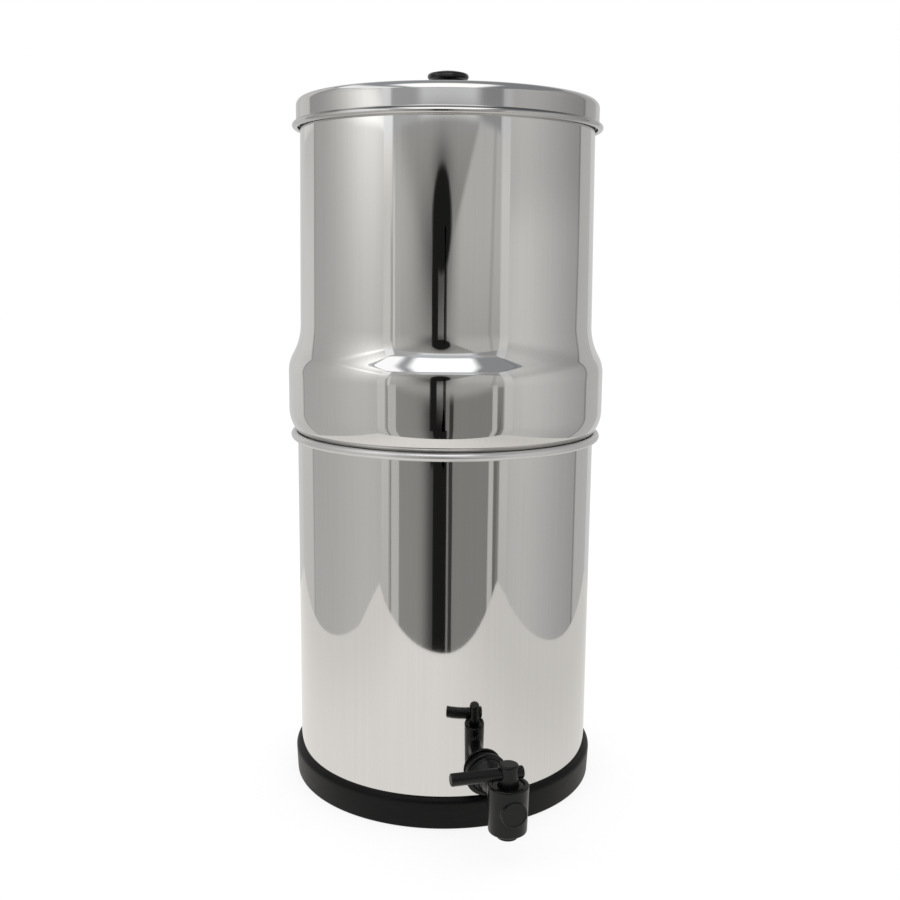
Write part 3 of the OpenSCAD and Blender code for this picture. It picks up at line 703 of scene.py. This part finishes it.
def tap_shape(x, y, z):
    """Shank, flange, dome and barrel about the axis that points to -Y, joined by fillets to the upright spout
    with its nozzle and boss, less the waterway, the plug's bore and the collar's seat."""
    out, rise = -y, z - TAP_Z
    across, spot = np.hypot(x, rise), np.hypot(x, out - TAP_Y)
    flange = disc(across, out, FLANGE_R, FLANGE_BACK, FLANGE_FRONT, 1.1)
    dome = np.maximum(np.hypot(across, out - (FLANGE_FRONT - 1)) - DOME_R, FLANGE_BACK + 0.6 - out)
    barrel = disc(across, out, BARREL_R, FLANGE_BACK, TAP_Y, 0.6)
    groove = thread(np.arctan2(rise, x), out, SHANK_PITCH, SHANK_THREAD_DEPTH) * (out < FLANGE_BACK - 1.5)
    shank = disc(across + groove, out, SHANK_R, SHANK_END, FLANGE_BACK + 1, 0.7)
    root = soft_join(soft_join(flange, dome, 1.2), barrel, 2.4)
    wide = SPOUT_LOW_R + (z - SPOUT_LOW_Z) * ((SPOUT_TOP_R - SPOUT_LOW_R) / (SPOUT_Z - SPOUT_LOW_Z))
    spout = disc(spot - wide, z, 0.0, SPOUT_LOW_Z, SPOUT_Z, 1.2)
    nozzle = disc(spot, z, NOZZLE_R, NOZZLE_Z, SPOUT_LOW_Z + 3, 0.8)
    boss_front = TAP_Y + SPOUT_TOP_R + BOSS_RISE
    boss = disc(across, out, BOSS_R, TAP_Y, boss_front, 0.5)
    dish = disc(across, out, DISH_R, boss_front - DISH_DEPTH, boss_front + 3, 0.15)
    body = soft_join(root, soft_join(spout, nozzle, 2.6), 2.6)
    body = soft_cut(soft_join(body, boss, 0.6), dish, 0.25)
    body = soft_join(body, shank, 0.4)
    body = soft_cut(body, disc(across, out, WATERWAY_R, SHANK_END - 5, TAP_Y, 0.2), 0.4)
    body = soft_cut(body, disc(spot, z, OUTLET_R, NOZZLE_Z - 5, SPOUT_LOW_Z + 20, 0.2), 0.6)
    body = soft_cut(body, disc(spot, z, BORE_R, BORE_FLOOR_Z, SPOUT_Z + 5, 0.2), 0.3)
    return soft_cut(body, disc(spot, z, COLLAR_R, COLLAR_Z, SPOUT_Z + 5, 0.2), 0.5)


def plug_shape(x, y, z):
    """Plug and head about the spout's axis, less channel, port, two ring grooves and the lever's hole."""
    spot = np.hypot(x, y + TAP_Y)
    plug = disc(spot, z, PLUG_R, PLUG_LOW_Z, PLUG_TOP_Z, 0.4)
    body = soft_join(plug, disc(spot, z, HEAD_R, HEAD_LOW_Z, HEAD_Z, 1.5), 0.5)
    body = soft_cut(body, disc(spot, z, CHANNEL_R, 20.0, TAP_Z, 0.5), 0.4)
    body = soft_cut(body, np.maximum(np.hypot(y + TAP_Y, z - TAP_Z) - CHANNEL_R, -x), 0.4)
    for level in GROOVE_LEVELS:
        body = soft_cut(body, np.maximum(GROOVE_R - spot, np.abs(z - level) - GROOVE_T / 2), 0.3)
    return soft_cut(body, np.maximum(np.hypot(y + TAP_Y, z - LEVER_Z) - LEVER_R - 0.05, np.abs(x) - 20), 0.45)


def lever():
    """Round bar along X through the head: an outline with rounded ends turned about its own axis."""
    end_r, length = 1.0, LEVER_LEN + LEVER_STUB
    outline = join(line((0, 0)), arc(LEVER_R - end_r, end_r, end_r, -90, 0, 15),
                   arc(LEVER_R - end_r, length - end_r, end_r, 0, 90, 15), line((0, length)))
    piece = revolve("lever_bar", outline, turns=64)
    piece.data.transform(shift(-LEVER_LEN, -TAP_Y, LEVER_Z) @ rotation(90, "Y"))
    return piece


def bevelled_ring(name, in_r, out_r, low, high, edge, centre=(0.0, 0.0)):
    """Ring with a square section whose four corners are rounded."""
    corners = ((in_r + edge, low + edge, 180), (out_r - edge, low + edge, -90),
               (out_r - edge, high - edge, 0), (in_r + edge, high - edge, 90))
    outline = join(*[arc(x, z, edge, start, start + 90, 22) for x, z, start in corners],
                   line((in_r, low + edge + 0.1)), longest=10, margin=0.1)
    return revolve(name, outline, turns=96, centre=centre)


def hexagon(radius, t, z):
    """Radius cut back to a hexagon, a / cos(angle from the middle of the nearest flat), below the nut's round
    collar."""
    a = NUT_R * math.cos(math.pi / 6)
    flat = a / np.cos((t + math.pi / 6) % (math.pi / 3) - math.pi / 6)
    return np.where((z < NUT_HEX_T - 0.05) & (radius > SHANK_R + 0.5), np.minimum(radius, flat), radius)


def tap_nut():
    """Six-sided nut with bevelled corners and a round collar against the washer, laid along the shank."""
    collar_r, edge_r, bore_r = NUT_R - 0.4, 0.4, 0.3
    outline = join(line((SHANK_R, 0.3), (SHANK_R + 0.4, 0), (12.2, 0), (13.2, 0.5), (NUT_R, 1.2),
                        (NUT_R, NUT_HEX_T - 0.4), (collar_r, NUT_HEX_T - 0.1)), line((collar_r, NUT_HEX_T)),
                   arc(collar_r, NUT_T - edge_r, edge_r, 0, 90, 30),
                   arc(SHANK_R + bore_r, NUT_T - bore_r, bore_r, 90, 180, 30), longest=1.0, margin=0.1)
    piece = revolve("shank_nut", outline, turns=180, sharp=30, warp=hexagon)
    piece.data.transform(shift(0, NUT_T + WASHER_T - LOWER_IN_R, TAP_Z) @ rotation(90, "X"))
    return piece


def wall_washer(name, outside):
    """Rubber washer on the shank, with one face bedded on the wall's curve."""
    reach = (LOWER_R - 3, LOWER_R + WASHER_T) if outside else (LOWER_IN_R - WASHER_T, LOWER_IN_R + 3)

    def shape(x, y, z):
        across, wall = np.hypot(x, z - TAP_Z), np.hypot(x, y)
        bed = LOWER_R - wall if outside else wall - LOWER_IN_R
        bedded = meet(disc(across, -y, WASHER_R, *reach, 0.5), bed, 0.2)
        return meet(bedded, SHANK_R - across, 0.2)
    return moulded(name, shape, (-14.5, -112, TAP_Z - 14.5), (14.5, -103.5, TAP_Z + 14.5), 0.4)


ride_as(moulded("tap_moulding", tap_shape, (-16.5, -173.5, 16), (16.5, -90.5, 56), 0.5),
        "lower_unit", "black_plastic", "tap_body", PLASTIC)
ride_as(moulded("plug_moulding", plug_shape, (-9.5, -167.5, 25), (9.5, -147.5, 69), 0.42),
        "tap_cock", "black_plastic", "tap_plug", PLASTIC)
ride_as(lever(), "tap_cock", "lever_plastic", "tap_lever", LEVER_PLASTIC)
ride_as(bevelled_ring("tap_collar_ring", HEAD_R + 0.3, COLLAR_R, COLLAR_Z, COLLAR_Z + COLLAR_T, 0.5,
                      centre=(0.0, -TAP_Y)), "lower_unit", "black_plastic", "tap_collar", PLASTIC)
ride_as(tap_nut(), "lower_unit", "black_plastic", "tap_nut", PLASTIC)
for washer, outside in (("tap_outer_washer", True), ("tap_inner_washer", False)):
    ride_as(wall_washer(washer + "_ring", outside), "lower_unit", "washer_rubber", washer, WASHER_RUBBER)
finish_node("plug_o_rings", WASHER_RUBBER)


# --- candles and plugs in the sockets
def stem_thread(radius, t, z):
    """Screw thread on the part of a stem that is below the floor."""
    threaded = (np.abs(radius - STEM_R) < 0.05) & (z < UPPER_FLOOR_Z - 0.5)
    return np.where(threaded, radius - thread(t, z, STEM_PITCH, STEM_THREAD_DEPTH), radius)


def cap_grip(radius, t, z):
    """Shallow upright flutes round the wall of a candle's cap, d (1/2 + cos(n t) / 2)^3 deep."""
    flute = CAP_FLUTE_DEPTH * (0.5 + 0.5 * np.cos(CAP_FLUTES * t)) ** 3
    return np.where((radius > CAP_R - 0.02) & (z > CAP_Z + 2), radius - flute, radius)


def stem_outline(bore):
    """Outline of a stem from its lower end to the underside of what it carries."""
    return line((bore, STEM_LOW_Z + 0.4), (bore + 0.4, STEM_LOW_Z), (STEM_R - 0.9, STEM_LOW_Z),
                (STEM_R - 0.5, STEM_LOW_Z + 0.3), (STEM_R, STEM_LOW_Z + 0.9), (STEM_R, CAP_Z))


def candle_shell():
    """Ceramic candle: hollow, open below, with a domed top outside and inside."""
    in_r, top, foot_r = CANDLE_R - CANDLE_WALL, SHELL_Z + CANDLE_H, 0.6
    outline = join(line((0, top)), arc(0, top - CANDLE_R, CANDLE_R, 89, 0, 4),
                   arc(CANDLE_R - foot_r, SHELL_Z + foot_r, foot_r, 0, -90, 30),
                   arc(in_r + foot_r, SHELL_Z + foot_r, foot_r, -90, -180, 30),
                   arc(0, top - CANDLE_R, in_r, 0, 89, 8), line((0, top - CANDLE_WALL)), longest=12)
    return revolve("candle_shell", outline, turns=128, sharp=50, centre=(SOCKET_R, 0))


def candle_cap():
    """Base cap: a threaded stem with a bore, a plate and a fluted wall round the foot of the candle."""
    top, foot_r, edge_r = SHELL_Z + CAP_WALL_H, 0.8, 0.6
    outline = join(stem_outline(STEM_BORE_R), arc(CAP_R - foot_r, CAP_Z + foot_r, foot_r, -90, 0, 20),
                   line((CAP_R, CAP_Z + 2.5)), arc(CAP_R - edge_r, top - edge_r, edge_r, 0, 90, 20),
                   line((CANDLE_R, top - 0.05), (CANDLE_R, SHELL_Z)),
                   line((STEM_BORE_R + 0.3, SHELL_Z), (STEM_BORE_R, SHELL_Z - 0.3)), longest=0.3, margin=0.1)
    return revolve("candle_cap", outline, turns=180, sharp=35, centre=(SOCKET_R, 0),
                   warp=lambda r, t, z: cap_grip(stem_thread(r, t, z), t, z))


def blanking_plug():
    """Solid threaded stem with a domed head."""
    foot_r, head_r = 0.5, 2.5
    outline = join(line((0, STEM_LOW_Z)), stem_outline(0.1)[2:],
                   arc(BLANK_R - foot_r, CAP_Z + foot_r, foot_r, -90, 0, 25),
                   arc(BLANK_R - head_r, CAP_Z + BLANK_H - head_r, head_r, 0, 90, 15),
                   line((0, CAP_Z + BLANK_H)), longest=0.3, margin=0.1)
    return revolve("blanking_plug", outline, turns=120, sharp=35, centre=(SOCKET_R, 0), warp=stem_thread)


def wing_nut_shape(x, y, z):
    """Hub with two rounded wings, filleted where they meet, less the stem's hole."""
    side, low = x - SOCKET_R, UPPER_FLOOR_Z - WING_H
    across = np.hypot(side, y)
    hub = disc(across, z, HUB_R, UPPER_FLOOR_Z - HUB_H, UPPER_FLOOR_Z, 0.8)
    half = (WING_H - 0.3) / 2
    face = meet(np.abs(side) - WING_REACH, np.abs(z - low - half) - half, 3.6)
    wings = meet(face, np.abs(y) - WING_T / 2, 0.8)
    return soft_cut(soft_join(hub, wings, 1.2), across - STEM_R, 0.3)


def at_sockets(piece, slot, material, *kinds):
    """Moves a piece made at the first socket, and copies of it, to the two sockets of each kind of node, with
    its place in its mesh."""
    piece.data.materials.append(material)
    for kind in kinds:
        for number, turn in enumerate(SOCKET_TURNS[kind.split("_")[0]], 1):
            mesh = piece.data.copy()
            mesh.transform(rotation(turn, "Z"))
            ride_as(new_object(f"{piece.name}_{turn}", mesh), "upper_unit", slot, f"{kind}_{number}")
    bpy.data.objects.remove(piece)


wing_nut = moulded("wing_nut", wing_nut_shape, (SOCKET_R - 20.5, -10.5, UPPER_FLOOR_Z - 12),
                   (SOCKET_R + 20.5, 10.5, UPPER_FLOOR_Z + 1), 0.5)
stem_seal = bevelled_ring("stem_seal", STEM_R, SEAL_R, UPPER_DECK_Z, CAP_Z, 0.5, centre=(SOCKET_R, 0.0))
at_sockets(candle_shell(), "candle_ceramic", CERAMIC, "candle_shell")
at_sockets(candle_cap(), "white_plastic", WHITE_PLASTIC, "candle_cap")
at_sockets(blanking_plug(), "white_plastic", WHITE_PLASTIC, "blanking_plug")
at_sockets(stem_seal, "white_rubber", WHITE_RUBBER, "candle_seal", "blanking_seal")
at_sockets(wing_nut, "white_plastic", WHITE_PLASTIC, "candle_nut", "blanking_nut")
for number in (1, 2):
    finish_node(f"candle_core_{number}", CARBON)


# --- knob's washer and screw
def screw_shape(x, y, z):
    """Pan head under the lid with a cross recess, and the shank up into the knob."""
    across, top = np.hypot(x, y), UNDER_LID_Z - SHEET
    low = top - SCREW_HEAD_H
    head = disc(across, z, SCREW_HEAD_R, low, top, 1.1)
    shank = disc(across, z, SCREW_R, top - 1, KNOB_Z + 10, 0.3)
    depth = z - low
    narrow, reach = 0.45 - depth * 0.1, 2.1 - depth * 0.75
    cross = np.minimum(np.maximum(np.abs(x) - narrow, np.abs(y) - reach),
                       np.maximum(np.abs(y) - narrow, np.abs(x) - reach))
    return soft_cut(soft_join(head, shank, 0.1), np.maximum(cross, depth - 1.6), 0.12)


ride_as(moulded("knob_screw_turned", screw_shape, (-4.6, -4.6, UNDER_LID_Z - 3.8), (4.6, 4.6, KNOB_Z + 10.6),
                0.2), "lid_unit", "fastener_steel", "knob_screw", FASTENER_STEEL)
ride_as(bevelled_ring("knob_washer_ring", SCREW_R, KNOB_WASHER_R, UNDER_LID_Z - SHEET, UNDER_LID_Z, 0.15),
        "lid_unit", "fastener_steel", "knob_washer", FASTENER_STEEL)


# --- studio
TAP_TURN = 15.5            # the camera stands this many degrees to one side of the tap
TENT_LEFT, TENT_RIGHT, TENT_FRONT, TENT_BACK = -440.0, 430.0, -450.0, 450.0
TENT_FRONT_H, TENT_BEND_H, TENT_BACK_H = 540.0, 668.0, 1000.0
TENT_SAG, TENT_BEND_SAG = 95.0, 17.0   # how far the front's top edge and the roof's bend sag
TENT_BEND = -200.0         # where the roof begins to climb to the back
TENT_COLUMNS = np.linspace(TENT_LEFT, TENT_RIGHT, 81)
LAMP = 1.7                 # brightness of the lamps over the roof
MIRROR = 0.72              # share of light that the steel gives back
HEM_TONE, BLACK_TONE = 0.56, 0.013


def tone(value):
    """Brightness that shows as this share of white after the steel's mirror and the display's curve."""
    linear = value / 12.92 if value <= 0.04045 else ((value + 0.055) / 1.055) ** 2.4
    return linear / MIRROR


def card(name, corners, material, faces=None):
    """Panel of the light tent, seen only in reflections: one flat face unless its faces are given."""
    corners = np.array(corners, float)
    mesh = bpy.data.meshes.new(name)
    mesh.from_pydata((corners * MM).tolist(), [], faces or [tuple(range(len(corners)))])
    mesh.materials.append(material)
    panel = new_object(name, mesh)
    panel.rotation_euler.z = math.radians(-TAP_TURN)
    panel.visible_camera = panel.visible_diffuse = panel.visible_shadow = False
    panel.visible_transmission = panel.visible_volume_scatter = False


def front_edge(x):
    """Height of the front's top edge, which sags in the middle: h + sag (x / 440)^2, and more at its ends."""
    pulled_up = np.interp(x, [-440, -395, -340, 320, 345, 370, 430], [50, 15, 0, 0, 8, 31, 54])
    return TENT_FRONT_H + TENT_SAG * (np.asarray(x, float) / 440) ** 2 + pulled_up


def bend_edge(x):
    """Height of the roof where it bends, a little higher at its sides: h + sag (x / 440)^2."""
    return TENT_BEND_H + TENT_BEND_SAG * (np.asarray(x, float) / 440) ** 2


def roof():
    """Points and faces of the roof, from the sagging front edge over the bend to the straight back edge."""
    xs, n = TENT_COLUMNS, len(TENT_COLUMNS)
    rows = [(TENT_FRONT, front_edge(xs)), (TENT_BEND, bend_edge(xs)), (TENT_BACK, np.full(n, TENT_BACK_H))]
    points = np.vstack([np.column_stack([xs, np.full(n, y), z]) for y, z in rows])
    k = (np.arange(2)[:, None] * n + np.arange(n - 1)).ravel()
    return points, np.column_stack([k, k + 1, k + n + 1, k + n]).tolist()


def shine(along, centre, spread):
    """Bell curve exp(-((along - centre) / spread)^2)."""
    return (((along - centre) / spread) ** 2 * -1).power_of_e()


def left_cloth():
    """Left cloth: lit by a lamp outside it, high up near the front, so its glow climbs with height. Behind a
    seam hangs a second, brighter cloth."""
    r = Recipe("tent_left")
    y, z = r.axes()[1:]
    glow = shine(y, -310, 230) * ((z / 500) ** 3 * 0.43 + 0.08)
    high = (z - y.above(-183, -430) * 11).above(514, 526)
    top = high * (z.above(546, 572) * -0.56 + 0.40) * shine(y, -360, 190)
    y = y - z.above(150, 340) * 16
    second = z.above(80, 330) * 0.08 + 0.62 - z.above(380, 560) * 0.09 + high * 0.15
    level = (glow + top + (0.50 - z * (0.07 / 500))).under(y.above(155, 175), second)
    return r.light(grey(1, 0.012), level * (1 - y.band(148, 154, 5) * 0.22))


def right_cloth():
    """Right cloth: a weaker, wider glow, a seam and a second cloth behind it."""
    r = Recipe("tent_right")
    y, z = r.axes()[1:]
    glow = shine(y, -330, 320) * (z.above(100, 350) * 0.09 + 0.22) + 0.365
    level = glow * (1 - z.above(400, 480) * 0.14 + z.above(500, 600) * 0.09)
    y = y - z.above(250, 420) * 24
    level = level.under(y.above(135, 155), 0.52)
    return r.light(grey(1, 0.010), level * (1 - y.band(124, 136, 6) * 0.27))


def front_cloth():
    """Front cloth: two curtains drawn apart above the camera in a V, a darker flap below them, light hems
    and seams at the sides, and the camera on its stand in the opening."""
    r = Recipe("tent_front")
    x, _, z = r.axes()
    # the curtains' glow, the flap, the shade round the camera and the curtains' folds
    level = (z.above(255, 430) * 0.11 + 0.42).under(z.above(262, 250), x.above(-140, 40) * -0.045 + 0.30)
    round_lens = ((((x + 24) ** 2 + (z - 430) ** 2) * (-1 / 130 ** 2)).power_of_e()) * x.above(90, -40)
    beside_column = shine(x, -57, 52) * z.above(262, 240) * 0.75
    level = level * (1 - round_lens) * (1 - beside_column)
    crease = (x - z * 0.155).band(197, 211, 10)
    level = level * (1 - crease * z.above(250, 300) * 0.16)
    slope_right = (x - 20) * 0.76 + 400
    slope_left = (x + 70) * -0.45 + 425
    fold = (z - slope_right).above(-8, 14) * (z - slope_left).above(-60, 40)
    level = level.under(fold, z.above(430, 560) * 0.10 + 0.30)
    level = level * (1 - shine(x, -27, 48) * shine(z, 462, 38) * 0.72)
    # the hems and pipings, and what lies outside them
    hem = x.band(-333, -271, 4) * (1 - z.above(250, 330) * 0.8) + x.band(254, 284, 6) * z.above(330, 250)
    level = level.under(hem, HEM_TONE)
    level = level.under(x.band(-334, -320, 5) * z.above(250, 300) * z.above(520, 440), 0.72)
    high = z.above(440, 560)
    side_tone = z * 0.00035 + HEM_TONE + high * x.above(-300, -350) * 0.3 - high * x.above(300, 350) * 0.08
    level = level.under(x.above(-336, -352) + x.above(330, 352), side_tone)
    seam = x.band(-356, -340, 4) * z.above(460, 400) + x.band(294, 314, 7) * z.above(250, 200)
    level = level * (1 - seam * 0.3)
    top_tone = x.band(-110, 120, 70) * (z.above(522, 536) * 0.15 + 0.25) - x.above(140, 220) * 0.15 + 0.49
    level = level.under(z.above(514, 526) * x.band(-334, 328, 6), top_tone)
    # the camera, the stand's two legs with a dimmer gap between them, its column and a cable
    lens = (((x + 26) / 50) ** 2 + ((z - 426) / 51) ** 2).above(1.25, 0.75)
    legs = z.above(180, 192) * z.above(432, 418)
    left_leg = x.band(-72, -44, 5) * legs
    gap = x.band(-44, -7, 4) * legs * (z.above(250, 225) * 0.75 + 0.25)
    right_leg = x.band(-9, 1, 4) * legs * 0.85
    column = x.band(-57, 7, 5) * z.above(204, 190)
    cable = x.band(21, 36, 4) * z.above(262, 246) * 0.85
    level = level.under(lens.most(column).most(cable).most(left_leg).most(right_leg + gap), BLACK_TONE)
    return r.light(r.mix(z.above(500, 530), grey(1, 0.02), (0.985, 1.0, 1.02, 1)), level)


def roof_cloth():
    """Sloping roof: a bright lamp over the front, a second one towards the left, bluish cloth round them."""
    r = Recipe("tent_roof")
    x, y = r.axes()[:2]
    lamp = x.band(-125, 105, 70) * y.above(-428, -400) * y.above(-140, -200)
    lit = lamp.most(x.above(-392, -380) * x.above(-205, -265) * y.band(-400, 150, 40) * 0.7)
    cloth = x.above(250, -250) * 0.12 + x.above(-394, -402) * 0.22 + 0.32
    edge = y.above(-400, -440)
    near_lamp = x.band(-170, 150, 90)
    pole = x.band(-398, -394, 4) + x.band(373, 378, 5)
    level = cloth.under(edge, near_lamp * 0.2 + 0.42).under(lit, LAMP) * (1 - pole * 0.45)
    colour = r.mix(edge * (1 - near_lamp), (0.97, 1.0, 1.05, 1), (1.03, 1.0, 0.94, 1))
    return r.light(r.mix(lit, colour, (1, 1, 1, 1)), level)


def floor_cloth():
    """Floor of the tent: brightest left of the middle, dimmer towards both sides."""
    r = Recipe("tent_floor")
    x = r.axes()[0]
    return r.light(grey(1, 0.022), tone(0.812) - x.above(-60, 330) * 0.17 - x.above(-150, -420) * 0.10)


L, R, F, B, TOP = TENT_LEFT, TENT_RIGHT, TENT_FRONT, TENT_BACK, TENT_BACK_H
top_edge = [(x, F, float(front_edge(x))) for x in TENT_COLUMNS[::-1]]
bend = {x: (x, TENT_BEND, float(bend_edge(x))) for x in (L, R)}
# the cloths' lower edges hang a little above the floor near the front's corners
left_foot = [(L, y, z) for y, z in ((F, 5), (-427, 17), (-395, 16), (-358, 14), (-302, 8), (-245, 0))]
front_foot = [(x, F, z) for x, z in (
    (L, 5), (-397, 0), (40, 0), (88, 1.5), (130, 4), (174, 8), (206, 12.5), (240, 18), (268, 24), (297, 30),
    (318, 35), (337, 37.5), (366, 27.5), (408, 10.5), (R, 3))]
card("tent_left", left_foot + [(L, B, 0), (L, B, TOP), bend[L], top_edge[-1]], left_cloth())
card("tent_right", [(R, F, 3), (R, -400, 0), (R, B, 0), (R, B, TOP), bend[R], top_edge[0]], right_cloth())
card("tent_front", front_foot + top_edge, front_cloth())
card("tent_back", [(L, B, 0), (R, B, 0), (R, B, TOP), (L, B, TOP)],
     Recipe("tent_back").light(grey(1), tone(0.72)))
roof_points, roof_faces = roof()
card("tent_roof", roof_points, roof_cloth(), roof_faces)
WIDER = 150   # how far the floor's cloth reaches past the walls
card("tent_floor", [(L - WIDER, F - WIDER, 0), (R + WIDER, F - WIDER, 0), (R + WIDER, B, 0),
                    (L - WIDER, B, 0)], floor_cloth())


def studio_floor():
    """Wide plain pale floor, which the steel doesn't mirror because the tent's floor stands in for it."""
    r = Recipe("studio_floor")
    colour = r.mix(r.noise(0.01, detail=2.0), grey(0.21), grey(0.23))
    reach = 6.0
    mesh = bpy.data.meshes.new("studio_floor")
    mesh.from_pydata([(-reach, -reach, 0), (reach, -reach, 0), (reach, reach, 0), (-reach, reach, 0)], [],
                     [(0, 1, 2, 3)])
    mesh.materials.append(r.surface(Base_Color=colour, Roughness=1.0, Specular_IOR_Level=0.0,
                                    Emission_Color=(1, 1, 1, 1), Emission_Strength=0.82))
    floor = new_object("studio_floor", mesh)
    floor.visible_glossy = False


def studio():
    """White surroundings, and a camera that looks at the tap from one side and a little above."""
    scene = bpy.context.scene
    scene.view_settings.view_transform = "Standard"
    scene.view_settings.look = "None"
    scene.world = bpy.data.worlds.new("studio_white")
    scene.world.use_nodes = True
    background = scene.world.node_tree.nodes["Background"]
    background.inputs["Color"].default_value = (1, 1, 1, 1)
    background.inputs["Strength"].default_value = 1.0
    distance, height = 820.6, 384.4
    tilt, swing, roll = 9.742, 0.2547, 0.5222
    focal_share = 1121.28 / 900     # focal length over the width of the view
    lens = bpy.data.cameras.new("camera")
    lens.sensor_width = 36.0
    lens.lens = focal_share * lens.sensor_width
    lens.clip_start, lens.clip_end = 0.05, 50.0
    camera = new_object("camera", lens)
    look = rotation(-swing, "Z") @ rotation(90 - tilt, "X") @ rotation(roll, "Z")
    camera.matrix_world = rotation(-TAP_TURN, "Z") @ shift(0, -distance, height) @ look
    scene.camera = camera


studio_floor()
studio()
